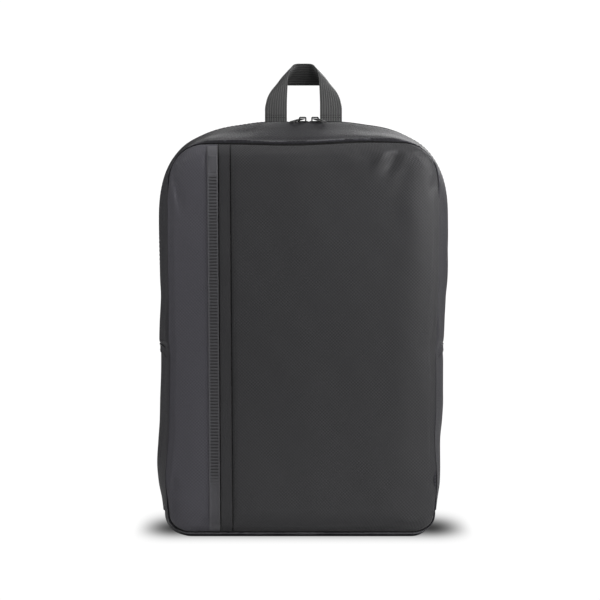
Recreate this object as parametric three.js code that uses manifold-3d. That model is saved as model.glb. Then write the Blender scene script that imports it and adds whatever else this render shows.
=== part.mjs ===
// A laptop backpack that stands by itself: a hollow bag of cloth panels and strips with its zip,
// side pockets, grab handle, padded back and shoulder straps.
// Millimetres. +X is the viewer's right, the front faces -Y, +Z is up, and the floor is z = 0.
import * as THREE from "three";
import { mergeVertices } from "three/addons/utils/BufferGeometryUtils.js";
import Module from "manifold-3d";

// The bag as a whole
const BAG_WIDTH = 300;
const BAG_HEIGHT = 430;
const BAG_DEPTH = 130;
const CLOTH = 2;
const GAP = 0.3;

// The outline along the zip: how far each top corner reaches, how square it is, and the low arch
const CREST_CORNER_ACROSS = 110;
const CREST_CORNER_DOWN = 97;
const CREST_CORNER_POWER = 2.63;
const CREST_ARCH = 4.5;

// The outline along the front and back seams, given by how far it lies inside the widest outline
const SEAM_SIDE_INSET = 10.5;
const SEAM_TOP_DROP = 24.5;
const SEAM_CORNER = 36;
const SEAM_ARCH = 1.5;
const SEAM_LIFT = 4;
const SEAM_SETBACK = 0.5;
const SEAM_WAIST = 0.5;
const FLOOR_ROLL = 9;
const FOOT_RADIUS = 22;

// The main zip, its channel between the two strips, and where it ends low on the sides
const ZIP_FROM_FRONT = 60;
const ZIP_CHANNEL = 9;
const ZIP_TAPE_WIDTH = 26;
const ZIP_TAPE = 0.9;
const ZIP_COIL_WIDTH = 5;
const ZIP_COIL_SINK = 1.3;
const JOIN_HEIGHT = 203;
const JOIN_GAP = 0.9;

// The front: its crown, how far its edges roll over, and the strips at the left
const PANEL_EDGE_GAP = 1.4;
const FRONT_CROWN = 13;
const FRONT_SIDE_ROLL = 46;
const FRONT_TOP_ROLL = 24;
const EDGE_ROLL = 11;
const TAPE_CENTRE = -94.6;
const TAPE_WIDTH = 11;
const TAPE_THICKNESS = 1.4;
const TAPE_LEAN = 3;
const TAPE_END_GAP = 2;
const TAPE_RIB_PITCH = 3.2;
const TAPE_RIB_RELIEF = 0.5;
const TAPE_PLAIN_TOP = 30;
const TAPE_PLAIN_FOOT = 72;
const PLACKET_WIDTH = 13;
const PLACKET_RECESS = 1.8;
const FOLD_ROLL = 6;

// The side pockets
const POCKET_CLOTH = 1.6;
const HEM_BELOW_JOIN = 3;
const POCKET_FRONT_DIP = 10;
const POCKET_EDGE_INSET = 3;
const POCKET_HEM_HEIGHT = 9;
const POCKET_HEM_THICKNESS = 2.4;
const POCKET_FOOT = 26;
const WALL_STEP = 6;
const WALL_FOOT_FADE = 40;

// The padded back
const BACK_EDGE = 3;
const BACK_CROWN = 5;
const BACK_ROLL = 30;

// The grab handle: one length of webbing, turned over at both corners
const HANDLE_WIDTH = 23;
const HANDLE_THICKNESS = 1.8;
const HANDLE_SPAN = 80.6;
const HANDLE_TOP = 490;
const HANDLE_FOLD_RADIUS = 8;
const HANDLE_ROOT_DROP = 58;
// How the folded webbing is drawn in towards the middle, more at its outer edge.
const HANDLE_PINCH = [
  { up: 0, pull: 0 },
  { up: 0.2, pull: 0 },
  { up: 0.34, pull: 0.036 },
  { up: 0.48, pull: 0.115 },
  { up: 0.62, pull: 0.236 },
  { up: 0.755, pull: 0.35 },
  { up: 0.865, pull: 0.72 },
  { up: 0.963, pull: 1.5 },
  { up: 1, pull: 1.5 },
];

// The shoulder straps
const STRAP_WIDTH = 62;
const STRAP_END_WIDTH = 34;
const STRAP_THICKNESS = 10;
const STRAP_END_THICKNESS = 7;
const STRAP_TOP_ACROSS = 74;
const STRAP_TOP_HEIGHT = 394;
const STRAP_END_ACROSS = 100;
const STRAP_END_HEIGHT = 152;
const STRAP_END_OUT = 27;
const STRAP_BOW = 42;
const STRAP_SEAT = 20;

// The webbing, loops, buckles and anchors below the straps
const WEBBING_WIDTH = 25;
const WEBBING_THICKNESS = 1.5;
const WEBBING_TAIL = 78;
const BUCKLE_WIDTH = 34;
const BUCKLE_BAR = 4;
const BUCKLE_WINDOW = 8.5;
const BUCKLE_THICKNESS = 3;
const BUCKLE_BELOW_STRAP = 15;
const BUCKLE_CLEARANCE = 0.5;
const ANCHOR_ACROSS = 108;
const ANCHOR_HEIGHT = 16;
const ANCHOR_LENGTH = 34;
const ANCHOR_TOP_WIDTH = 30;
const ANCHOR_FOOT_WIDTH = 40;
const ANCHOR_THICKNESS = 3;

// The zip's sliders and their pull tabs
const SLIDER_CENTRES = { left: -0.8, right: 12 };
const SLIDER_LENGTH = 10.8;
const SLIDER_WIDTH = 8;
const SLIDER_PLATE = 1.4;
const BRIDGE_LENGTH = 7.8;
const BRIDGE_WIRE = 1.4;
const BRIDGE_WIDTH = 1.2;
const BRIDGE_HOLE = 2.95;
const PULL_THICKNESS = 0.9;
const PULL_WIDTH = 7.5;
const PULL_LENGTH = 15.5;
const PULL_EYE_LENGTH = 4.6;
const PULL_EYE_SHIFT = 0.93;
const PULL_RIM = 0.8;
const PULL_WINDOW_START = 7;
const PULL_WINDOW_END = 12.6;
const PULL_REST_TILT = THREE.MathUtils.degToRad(11);
const PULL_YAW = { left: THREE.MathUtils.degToRad(45), right: THREE.MathUtils.degToRad(55) };

// How far the strips have swelled from the seam's outline (0) to the widest outline (1).
// along: share of the way from the seam to the zip.
const FRONT_SLOPE = [
  { along: 0, swell: 0 },
  { along: 0.025, swell: 0.1 },
  { along: 0.07, swell: 0.13 },
  { along: 0.25, swell: 0.33 },
  { along: 0.5, swell: 0.6 },
  { along: 0.75, swell: 0.85 },
  { along: 0.9, swell: 0.96 },
  { along: 1, swell: 1 },
];
const BACK_SLOPE = [
  { along: 0, swell: 0 },
  { along: 0.06, swell: 0.2 },
  { along: 0.22, swell: 0.52 },
  { along: 0.42, swell: 0.77 },
  { along: 0.65, swell: 0.92 },
  { along: 0.85, swell: 0.985 },
  { along: 1, swell: 1 },
];

// How the widest outline sags and bulges on each side.
// up: share of the bag's height. left, right: share of half its width, outwards.
const SIDE_WAIST = [
  { up: 0, left: -0.04, right: -0.094 },
  { up: 0.05, left: -0.039, right: -0.093 },
  { up: 0.085, left: -0.031, right: -0.085 },
  { up: 0.13, left: -0.009, right: -0.069 },
  { up: 0.18, left: 0.001, right: -0.064 },
  { up: 0.23, left: -0.005, right: -0.063 },
  { up: 0.28, left: -0.015, right: -0.051 },
  { up: 0.33, left: -0.019, right: -0.043 },
  { up: 0.42, left: -0.027, right: -0.043 },
  { up: 0.458, left: -0.025, right: -0.049 },
  { up: 0.472, left: -0.011, right: -0.039 },
  { up: 0.52, left: -0.011, right: -0.029 },
  { up: 0.57, left: -0.011, right: -0.014 },
  { up: 0.62, left: -0.005, right: -0.002 },
  { up: 0.74, left: 0.003, right: 0.003 },
  { up: 1, left: 0, right: 0 },
];

// Soft dents and puckers in the front. across: share of half the width from the middle, up: share
// of the height, wide and tall: half-sizes as shares of the width and height, turn: degrees from
// level, deep: share of the front's crown.
const FRONT_DENTS = [
  { name: "top right pull", across: 0.53, up: 0.912, wide: 0.012, tall: 0.045, turn: -28, deep: 0.22 },
  { name: "top left of tape", across: -0.67, up: 0.875, wide: 0.012, tall: 0.02, turn: 0, deep: 0.16 },
  { name: "left corner", across: -0.87, up: 0.82, wide: 0.01, tall: 0.05, turn: -8, deep: 0.12 },
  { name: "right corner", across: 0.88, up: 0.82, wide: 0.01, tall: 0.03, turn: 10, deep: 0.12 },
  { name: "foot beside tape", across: -0.7, up: 0.03, wide: 0.03, tall: 0.02, turn: 12, deep: 0.25 },
  { name: "foot right", across: 0.86, up: 0.11, wide: 0.012, tall: 0.03, turn: -10, deep: 0.15 },
];

const HALF_DEPTH = BAG_DEPTH / 2;
const SHELL_END = HALF_DEPTH - SEAM_SETBACK;
const ZIP_PLACE = -HALF_DEPTH + ZIP_FROM_FRONT;
const STEP_TOP = JOIN_HEIGHT - JOIN_GAP - CLOTH;

const CREST_OUTLINE = {
  half: BAG_WIDTH / 2,
  top: BAG_HEIGHT,
  across: CREST_CORNER_ACROSS,
  down: CREST_CORNER_DOWN,
  power: CREST_CORNER_POWER,
  arch: CREST_ARCH,
};
const SEAM_OUTLINE = {
  half: BAG_WIDTH / 2 - SEAM_SIDE_INSET,
  top: BAG_HEIGHT - SEAM_TOP_DROP,
  across: SEAM_CORNER,
  down: SEAM_CORNER,
  power: 2,
  arch: SEAM_ARCH,
};

const lerp = THREE.MathUtils.lerp;
const clamp = THREE.MathUtils.clamp;

function range(count) {
  return Array.from({ length: count }, (_, index) => index);
}

function spread(from, to, steps) {
  return range(steps + 1).map((index) => lerp(from, to, index / steps));
}

// The value of one column of a table at a place along another, straight from row to row.
function readTable(rows, key, column, at) {
  const last = rows.length - 1;
  if (at <= rows[0][key]) return rows[0][column];
  if (at >= rows[last][key]) return rows[last][column];
  const next = rows.findIndex((row) => row[key] >= at);
  const [low, high] = [rows[next - 1], rows[next]];
  return lerp(low[column], high[column], (at - low[key]) / (high[key] - low[key]));
}

// A quarter circle's rise from 0 at the edge to 1 further in.
function rise(share) {
  const left = 1 - clamp(share, 0, 1);
  return Math.sqrt(1 - left * left);
}

function swellAt(y) {
  if (y < ZIP_PLACE) {
    return readTable(FRONT_SLOPE, "along", "swell", (y + HALF_DEPTH) / ZIP_FROM_FRONT);
  }
  const backReach = BAG_DEPTH - ZIP_FROM_FRONT;
  return readTable(BACK_SLOPE, "along", "swell", (HALF_DEPTH - y) / backReach);
}

// The bag's outline at a depth, between the seam's outline and the widest one.
function outlineAt(y) {
  const swell = swellAt(y);
  const outline = { swell };
  Object.keys(SEAM_OUTLINE).forEach((size) => {
    outline[size] = lerp(SEAM_OUTLINE[size], CREST_OUTLINE[size], swell);
  });
  const fromSeam = HALF_DEPTH - Math.abs(y);
  outline.bottom = SEAM_LIFT * (1 - rise(fromSeam / FLOOR_ROLL));
  return outline;
}

// The waist's factor on a width. The seams follow the widest outline by a part of it.
function waistAt(z, hand, swell) {
  const waist = readTable(SIDE_WAIST, "up", hand < 0 ? "left" : "right", z / BAG_HEIGHT);
  return 1 + waist * lerp(SEAM_WAIST, 1, swell);
}

// A point over the top of the bag. place runs from -3 at the left join over 0 at the middle of the
// top to 3 at the right join: one part each for the side, the corner and the top.
function overTop(y, place) {
  const outline = outlineAt(y);
  const hand = Math.sign(place) || 1;
  const along = 3 - Math.abs(place);
  const cornerFoot = outline.top - outline.down - outline.arch;
  const power = 2 / outline.power;
  let x = outline.half;
  let z = lerp(JOIN_HEIGHT, cornerFoot, Math.min(along, 1));
  if (along > 1) {
    const angle = (Math.min(along - 1, 1) * Math.PI) / 2;
    x = outline.half - outline.across * (1 - Math.cos(angle) ** power);
    z = outline.top - outline.down * (1 - Math.sin(angle) ** power);
  }
  if (along > 2) {
    x = (outline.half - outline.across) * (3 - along);
    z = outline.top;
  }
  if (along > 1) z -= outline.arch * (x / outline.half) ** 2;
  x *= waistAt(z, hand, outline.swell);
  return new THREE.Vector3(hand * x, y, z);
}

// A point round the foot of the bag, with place running as in overTop from the left join down,
// along the floor and up to the right join. Behind the pockets the walls lie flat from seam to seam.
function underFoot(y, place, flatWalls = true) {
  const outline = outlineAt(y);
  const hand = Math.sign(place) || 1;
  const along = 3 - Math.abs(place);
  const cornerTop = outline.bottom + FOOT_RADIUS;
  const angle = (clamp(along - 1, 0, 1) * Math.PI) / 2;
  let z = along < 1 ? lerp(JOIN_HEIGHT, cornerTop, along) : cornerTop - FOOT_RADIUS * Math.sin(angle);
  const steppedIn = clamp((STEP_TOP - z) / WALL_STEP, 0, 1);
  const flat = flatWalls ? steppedIn * rise((z - POCKET_FOOT) / WALL_FOOT_FADE) : 0;
  const half = lerp(outline.half, SEAM_OUTLINE.half, flat) * waistAt(z, hand, outline.swell);
  let x = half - FOOT_RADIUS * (1 - Math.cos(angle));
  if (along > 2) {
    x = (half - FOOT_RADIUS) * (3 - along);
    z = outline.bottom;
  }
  return new THREE.Vector3(hand * x, y, z);
}

// The direction out of a surface point(y, place) of the bag.
function outwards(point, y, place) {
  const step = 0.01;
  const stepBack = y + step > SHELL_END ? 0 : step;
  const stepFront = y - step < -SHELL_END ? 0 : step;
  const alongDepth = point(y + stepBack, place).sub(point(y - stepFront, place));
  const low = Math.max(place - step, -3);
  const high = Math.min(place + step, 3);
  const alongPath = point(y, high).sub(point(y, low));
  const normal = alongDepth.cross(alongPath).normalize();
  const middle = new THREE.Vector3(0, 0, BAG_HEIGHT / 2);
  const away = point(y, place).sub(middle);
  return normal.dot(away) < 0 ? normal.negate() : normal;
}

// Triangles gathered into one closed geometry, turned so that its faces point out.
function closedGeometry(points, triangles) {
  const volume = triangles.reduce((sum, [a, b, c]) => {
    const cross = new THREE.Vector3().crossVectors(points[b], points[c]);
    return sum + points[a].dot(cross);
  }, 0);
  const faces = volume < 0 ? triangles.map(([a, b, c]) => [a, c, b]) : triangles;
  const geometry = new THREE.BufferGeometry();
  geometry.setFromPoints(points);
  geometry.setIndex(faces.flat());
  geometry.computeVertexNormals();
  return geometry;
}

// A wall between two grids of points of the same size, closed round its four edges.
function wallGeometry(outer, inner) {
  const columns = outer[0].length;
  const rows = outer.length;
  const points = [...outer.flat(), ...inner.flat()];
  const offset = rows * columns;
  const triangles = [];
  const quad = (a, b, c, d) => triangles.push([a, b, c], [a, c, d]);
  const at = (row, column) => row * columns + column;
  range(rows - 1).forEach((row) => {
    range(columns - 1).forEach((column) => {
      const [a, b] = [at(row, column), at(row, column + 1)];
      const [c, d] = [at(row + 1, column + 1), at(row + 1, column)];
      quad(a, b, c, d);
      quad(offset + d, offset + c, offset + b, offset + a);
    });
  });
  const edge = [
    ...range(columns - 1).map((column) => at(0, column)),
    ...range(rows - 1).map((row) => at(row, columns - 1)),
    ...range(columns - 1).map((column) => at(rows - 1, columns - 1 - column)),
    ...range(rows - 1).map((row) => at(rows - 1 - row, 0)),
  ];
  edge.forEach((from, index) => {
    const to = edge[(index + 1) % edge.length];
    quad(to, from, offset + from, offset + to);
  });
  return closedGeometry(points, triangles);
}

// A solid through rings of points of the same count, with flat ends cut by the ring's own outline.
function loftGeometry(rings, flatRing) {
  const count = rings[0].length;
  const points = rings.flat();
  const triangles = [];
  rings.slice(1).forEach((_, ring) => {
    range(count).forEach((index) => {
      const next = (index + 1) % count;
      const [a, b] = [ring * count + index, ring * count + next];
      triangles.push([a, b, b + count], [a, b + count, a + count]);
    });
  });
  const last = (rings.length - 1) * count;
  THREE.ShapeUtils.triangulateShape(flatRing, []).forEach(([a, b, c]) => {
    triangles.push([c, b, a], [last + a, last + b, last + c]);
  });
  return closedGeometry(points, triangles);
}

// A flat section swept along stations that each give a centre, a direction across and one out.
function sweepGeometry(stations, sectionAt) {
  const rings = stations.map((station, index) =>
    sectionAt(index / (stations.length - 1)).map((corner) =>
      station.centre
        .clone()
        .addScaledVector(station.across, corner.x)
        .addScaledVector(station.out, corner.y),
    ),
  );
  return loftGeometry(rings, fromFirst(sectionAt(0)));
}

function fromFirst(section) {
  return THREE.ShapeUtils.isClockWise(section) ? section.map((corner) => corner.clone()) : section;
}

function flatSection(width, thickness) {
  const [x, y] = [width / 2, thickness / 2];
  return [
    new THREE.Vector2(-x, -y),
    new THREE.Vector2(x, -y),
    new THREE.Vector2(x, y),
    new THREE.Vector2(-x, y),
  ];
}

function paddedSection(width, thickness) {
  const [x, y] = [width / 2, thickness / 2];
  const [inX, inY] = [x - thickness * 0.45, y * 0.35];
  return [
    new THREE.Vector2(-inX, -y),
    new THREE.Vector2(inX, -y),
    new THREE.Vector2(x, -inY),
    new THREE.Vector2(x, inY),
    new THREE.Vector2(inX, y),
    new THREE.Vector2(-inX, y),
    new THREE.Vector2(-x, inY),
    new THREE.Vector2(-x, -inY),
  ];
}

function roundedRectangle(width, height, radius) {
  const shape = new THREE.Shape();
  const [x, y] = [width / 2, height / 2];
  shape.moveTo(-x + radius, -y);
  shape.lineTo(x - radius, -y);
  shape.absarc(x - radius, -y + radius, radius, -Math.PI / 2, 0);
  shape.lineTo(x, y - radius);
  shape.absarc(x - radius, y - radius, radius, 0, Math.PI / 2);
  shape.lineTo(-x + radius, y);
  shape.absarc(-x + radius, y - radius, radius, Math.PI / 2, Math.PI);
  shape.lineTo(-x, -y + radius);
  shape.absarc(-x + radius, -y + radius, radius, Math.PI, Math.PI * 1.5);
  return shape;
}

function rectangleHole(left, low, right, high) {
  const hole = new THREE.Path();
  hole.moveTo(left, low);
  hole.lineTo(left, high);
  hole.lineTo(right, high);
  hole.lineTo(right, low);
  hole.closePath();
  return hole;
}

const CLOTH_FINISH = { color: 0x45444a, roughness: 0.8 };
const PLACKET_FINISH = { color: 0x38373c, roughness: 0.85 };
const WEBBING_FINISH = { color: 0x3f3f43, roughness: 0.75 };
const ZIP_FINISH = { color: 0x2a2a2d, roughness: 0.6 };
const METAL_FINISH = { color: 0x2b2b2f, roughness: 0.35, metalness: 0.9 };
const PLASTIC_FINISH = { color: 0x1f1f21, roughness: 0.5 };
const MESH_FINISH = { color: 0x2f2f33, roughness: 0.95 };

function piece(name, geometry, finish) {
  const mesh = new THREE.Mesh(geometry, new THREE.MeshStandardMaterial(finish));
  mesh.name = name;
  return mesh;
}

// Strips of the bag's outer shell between the seams

function shellGeometry(point, depths, places, thickness, sink = 0) {
  const grid = (inset) =>
    depths.map((y) =>
      places.map((place) => point(y, place).addScaledVector(outwards(point, y, place), -inset)),
    );
  return wallGeometry(grid(sink), grid(sink + thickness));
}

function slopeDepths(rows, seamSide, reach, stop) {
  const seam = seamSide * HALF_DEPTH;
  const depths = rows.slice(1).map((row) => seam - seamSide * row.along * reach);
  return [seamSide * SHELL_END, ...depths.filter((y) => (stop - y) * seamSide < -1), stop];
}

const UPPER_PLACES = [
  ...spread(-3, -2, 3),
  ...spread(-2, -1, 8).slice(1),
  ...spread(-1, 1, 4).slice(1),
  ...spread(1, 2, 8).slice(1),
  ...spread(2, 3, 3).slice(1),
];

function gussetFront() {
  const stop = ZIP_PLACE - ZIP_CHANNEL / 2;
  const depths = slopeDepths(FRONT_SLOPE, -1, ZIP_FROM_FRONT, stop);
  return piece("gusset_front", shellGeometry(overTop, depths, UPPER_PLACES, CLOTH), CLOTH_FINISH);
}

function gussetBack() {
  const stop = ZIP_PLACE + ZIP_CHANNEL / 2;
  const depths = slopeDepths(BACK_SLOPE, 1, BAG_DEPTH - ZIP_FROM_FRONT, stop);
  return piece("gusset_back", shellGeometry(overTop, depths, UPPER_PLACES, CLOTH), CLOTH_FINISH);
}

// The place round the foot's outline of a height on one side.
function placeOfHeight(z, hand) {
  return hand * (3 - (JOIN_HEIGHT - z) / (JOIN_HEIGHT - FOOT_RADIUS));
}

// The bottom with its lower sides. A little gap at each end keeps it clear of the strips above.
function gussetBase() {
  const heights = [JOIN_HEIGHT - JOIN_GAP, STEP_TOP, ...spread(STEP_TOP - WALL_STEP, FOOT_RADIUS, 8)];
  const side = (hand) => heights.map((z) => placeOfHeight(z, hand));
  const places = [
    ...side(-1),
    ...spread(-2, -1, 4).slice(1),
    ...spread(-1, 1, 2).slice(1),
    ...spread(1, 2, 4).slice(1, -1),
    ...side(1).reverse(),
  ];
  const front = slopeDepths(FRONT_SLOPE, -1, ZIP_FROM_FRONT, ZIP_PLACE);
  const back = slopeDepths(BACK_SLOPE, 1, BAG_DEPTH - ZIP_FROM_FRONT, ZIP_PLACE);
  const depths = [...front, ...back.reverse().slice(1)];
  return piece("gusset_base", shellGeometry(underFoot, depths, places, CLOTH), CLOTH_FINISH);
}

// Tape and coil in one, on the inside of the two strips with the coil up in their channel
function mainZip() {
  const tapeTop = CLOTH + GAP;
  const half = ZIP_TAPE_WIDTH / 2;
  const coil = ZIP_COIL_WIDTH / 2;
  const section = [
    new THREE.Vector2(-half, -tapeTop - ZIP_TAPE),
    new THREE.Vector2(half, -tapeTop - ZIP_TAPE),
    new THREE.Vector2(half, -tapeTop),
    new THREE.Vector2(coil, -tapeTop),
    new THREE.Vector2(coil, -ZIP_COIL_SINK),
    new THREE.Vector2(-coil, -ZIP_COIL_SINK),
    new THREE.Vector2(-coil, -tapeTop),
    new THREE.Vector2(-half, -tapeTop),
  ];
  const rings = UPPER_PLACES.map((place) =>
    section.map((corner) => {
      const y = ZIP_PLACE + corner.x;
      return overTop(y, place).addScaledVector(outwards(overTop, y, place), corner.y);
    }),
  );
  return piece("main_zip", loftGeometry(rings, section), ZIP_FINISH);
}

// The front

const FRONT_EDGE = {
  half: SEAM_OUTLINE.half - PANEL_EDGE_GAP,
  top: SEAM_OUTLINE.top - PANEL_EDGE_GAP,
  bottom: SEAM_LIFT + PANEL_EDGE_GAP,
  topCorner: SEAM_CORNER - PANEL_EDGE_GAP,
  footCorner: FOOT_RADIUS - PANEL_EDGE_GAP,
};

// How far a flat panel's outline reaches to one side at a height.
function edgeReach(edge, z, hand) {
  const half = edge.half * waistAt(z, hand, 0);
  const intoTop = z - (edge.top - edge.topCorner);
  const intoFoot = edge.bottom + edge.footCorner - z;
  if (intoTop > 0) return half - edge.topCorner * (1 - chord(intoTop / edge.topCorner));
  if (intoFoot > 0) return half - edge.footCorner * (1 - chord(intoFoot / edge.footCorner));
  return half;
}

function chord(share) {
  return Math.sqrt(Math.max(0, 1 - share * share));
}

// How far inside a flat panel's outline a point lies, round its corners too.
function edgeDistance(edge, x, z) {
  const radius = z > BAG_HEIGHT / 2 ? edge.topCorner : edge.footCorner;
  const toSide = edge.half * waistAt(z, Math.sign(x), 0) - Math.abs(x);
  const toEnd = Math.min(edge.top - z, z - edge.bottom);
  if (toSide < radius && toEnd < radius) {
    return radius - Math.hypot(radius - toSide, radius - toEnd);
  }
  return Math.min(toSide, toEnd);
}

function dentAt(x, z) {
  return FRONT_DENTS.reduce((sum, dent) => {
    const turn = THREE.MathUtils.degToRad(dent.turn);
    const dx = x - (dent.across * BAG_WIDTH) / 2;
    const dz = z - dent.up * BAG_HEIGHT;
    const u = (dx * Math.cos(turn) + dz * Math.sin(turn)) / (dent.wide * BAG_WIDTH);
    const v = (dz * Math.cos(turn) - dx * Math.sin(turn)) / (dent.tall * BAG_HEIGHT);
    return sum + dent.deep * FRONT_CROWN * Math.exp(-u * u - v * v);
  }, 0);
}

// How far the front's surface has risen at a point, from 0 at its rim: to its ends alone, to its
// sides alone, and round its rim.
function frontRises(x, z) {
  const edge = FRONT_EDGE;
  const toEnd = Math.min(edge.top - z, z - edge.bottom);
  const toSide = edge.half * waistAt(z, Math.sign(x), 0) - Math.abs(x);
  return {
    end: rise(toEnd / FRONT_TOP_ROLL),
    side: rise(toSide / FRONT_SIDE_ROLL),
    rim: rise(edgeDistance(edge, x, z) / EDGE_ROLL),
  };
}

// How far the inside of a front panel stands in front of the seams, with a recess of its own.
function frontCrown(x, z, recess = 0) {
  const { end, side, rim } = frontRises(x, z);
  return (FRONT_CROWN * side - recess) * end * rim - dentAt(x, z) * rim * end;
}

// Every upright edge in the front leans with the tape: its place at a height.
function leaning(x, z) {
  return x + TAPE_LEAN * (1 - z / BAG_HEIGHT);
}

const TAPE_LEFT = TAPE_CENTRE - TAPE_WIDTH / 2;
const TAPE_RIGHT = TAPE_CENTRE + TAPE_WIDTH / 2;
const PLACKET_LEFT = TAPE_RIGHT + GAP;
const PLACKET_RIGHT = PLACKET_LEFT + PLACKET_WIDTH;
const MAIN_LEFT = PLACKET_RIGHT + GAP;

const FRONT_HEIGHTS = [
  ...spread(0, 1, 3).map((share) => cornerHeight(FRONT_EDGE.bottom, FRONT_EDGE.footCorner, share, 1)),
  ...spread(FRONT_EDGE.bottom + FRONT_EDGE.footCorner, FRONT_EDGE.top - FRONT_EDGE.topCorner, 13).slice(1),
  ...spread(1, 0, 5)
    .map((share) => cornerHeight(FRONT_EDGE.top, FRONT_EDGE.topCorner, share, -1))
    .slice(1),
];

function cornerHeight(end, radius, share, direction) {
  return end + direction * radius * (1 - Math.cos((share * Math.PI) / 2));
}

// A panel of the front between two edges, sunk behind the crowned surface by a recess.
function frontPanel(leftAt, rightAt, columns, recessAt) {
  const grid = (thickness) =>
    FRONT_HEIGHTS.map((z) => {
      const [left, right] = [leftAt(z), rightAt(z)];
      return columns.map((share) => {
        const x = lerp(left, right, share);
        return new THREE.Vector3(x, -HALF_DEPTH - frontCrown(x, z, recessAt(x, z)) - thickness, z);
      });
    });
  return wallGeometry(grid(CLOTH), grid(0));
}

function frontPanelMain() {
  const columns = [0, 0.012, 0.03, 0.1, 0.25, 0.42, 0.6, 0.74, 0.84, 0.91, 0.96, 0.985, 1];
  const leftAt = (z) => leaning(MAIN_LEFT, z);
  const foldRecess = (x, z) => PLACKET_RECESS * (1 - rise((x - leftAt(z)) / FOLD_ROLL));
  const geometry = frontPanel(leftAt, (z) => edgeReach(FRONT_EDGE, z, 1), columns, foldRecess);
  return piece("front_panel_main", geometry, CLOTH_FINISH);
}

const SIDE_COLUMNS = [0, 0.06, 0.2, 0.45, 0.75, 1];
const sideLeft = (z) => -edgeReach(FRONT_EDGE, z, -1);
const sideRight = (z) => leaning(TAPE_RIGHT, z);

function frontPanelSide() {
  const geometry = frontPanel(sideLeft, sideRight, SIDE_COLUMNS, () => 0);
  return piece("front_panel_side", geometry, CLOTH_FINISH);
}

function pocketPlacket() {
  const geometry = frontPanel(
    (z) => leaning(PLACKET_LEFT, z),
    (z) => leaning(PLACKET_RIGHT, z),
    [0, 0.5, 1],
    () => PLACKET_RECESS,
  );
  return piece("pocket_placket", geometry, PLACKET_FINISH);
}

// The side panel's outer face between its own columns and rows, which the tape lies on.
function panelFace(x, z) {
  const next = Math.max(FRONT_HEIGHTS.findIndex((height) => height >= z), 1);
  const [low, high] = [FRONT_HEIGHTS[next - 1], FRONT_HEIGHTS[next]];
  const crown = lerp(crownOnRow(x, low), crownOnRow(x, high), (z - low) / (high - low));
  return HALF_DEPTH + CLOTH + crown;
}

function crownOnRow(x, z) {
  const places = SIDE_COLUMNS.map((share) => lerp(sideLeft(z), sideRight(z), share));
  const found = places.findIndex((place) => place >= x);
  const next = found < 0 ? places.length - 1 : Math.max(found, 1);
  const [left, right] = [places[next - 1], places[next]];
  return lerp(frontCrown(left, z), frontCrown(right, z), (x - left) / (right - left));
}

// The trim tape follows the side panel's edge. Each rib is a crest and a valley.
function trimTape() {
  const foot = FRONT_EDGE.bottom + TAPE_END_GAP;
  const top = FRONT_EDGE.top - TAPE_END_GAP;
  const ribFoot = foot + TAPE_PLAIN_FOOT;
  const ribTop = top - TAPE_PLAIN_TOP;
  const ribs = Math.round((ribTop - ribFoot) / TAPE_RIB_PITCH);
  const bends = (low, high) => FRONT_HEIGHTS.filter((z) => z > low && z < high);
  const ribbed = spread(ribFoot, ribTop, ribs * 2).map((z, index) => ({ z, valley: index % 2 === 1 }));
  const plain = (heights) => heights.map((z) => ({ z, valley: false }));
  const stations = [
    ...plain([foot, ...bends(foot, ribFoot)]),
    ...ribbed,
    ...plain([...bends(ribTop, top), top]),
  ];
  const rings = stations.map(({ z, valley }) => {
    const thickness = TAPE_THICKNESS - (valley ? TAPE_RIB_RELIEF : 0);
    return flatSection(TAPE_WIDTH, thickness).map((corner) => {
      const x = leaning(TAPE_CENTRE, z) + corner.x;
      const under = panelFace(x, z) + GAP;
      return new THREE.Vector3(x, -under - (corner.y > 0 ? thickness : 0), z);
    });
  });
  return piece("trim_tape", loftGeometry(rings, flatSection(TAPE_WIDTH, TAPE_THICKNESS)), WEBBING_FINISH);
}

// Side pockets

// The mouth is level from the back and dips towards the front seam.
function hemHeight(y) {
  return JOIN_HEIGHT - HEM_BELOW_JOIN - POCKET_FRONT_DIP * Math.max(0, -y / HALF_DEPTH) ** 2;
}

// The pocket keeps the bag's swelling outline, and its room is what the flat wall behind leaves.
function pocketLine(y, place) {
  return underFoot(y, place, false);
}

function pocketWall(hand, fromShare, toShare, rows, extra, thickness) {
  const depthEnd = HALF_DEPTH - POCKET_EDGE_INSET;
  const depths = spread(-depthEnd, depthEnd, 10);
  const grid = (inset) =>
    depths.map((y) =>
      spread(fromShare(y), toShare(y), rows).map((z) => {
        const place = placeOfHeight(z, hand);
        const normal = outwards(pocketLine, y, place);
        const standOff = POCKET_CLOTH + GAP + extra - inset;
        return pocketLine(y, place).addScaledVector(normal, standOff);
      }),
    );
  return wallGeometry(grid(0), grid(thickness));
}

function sidePocket(side, hand) {
  const top = (y) => hemHeight(y) - POCKET_HEM_HEIGHT - GAP;
  const geometry = pocketWall(hand, () => POCKET_FOOT, top, 7, 0, POCKET_CLOTH);
  return piece("side_pocket_" + side, geometry, CLOTH_FINISH);
}

function sidePocketHem(side, hand) {
  const low = (y) => hemHeight(y) - POCKET_HEM_HEIGHT;
  const extra = POCKET_HEM_THICKNESS - POCKET_CLOTH;
  const geometry = pocketWall(hand, low, hemHeight, 1, extra, POCKET_HEM_THICKNESS);
  return piece("side_pocket_hem_" + side, geometry, WEBBING_FINISH);
}

// The padded back

function backSurface(x, z) {
  return HALF_DEPTH + BACK_EDGE + BACK_CROWN * rise(edgeDistance(FRONT_EDGE, x, z) / BACK_ROLL);
}

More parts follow.
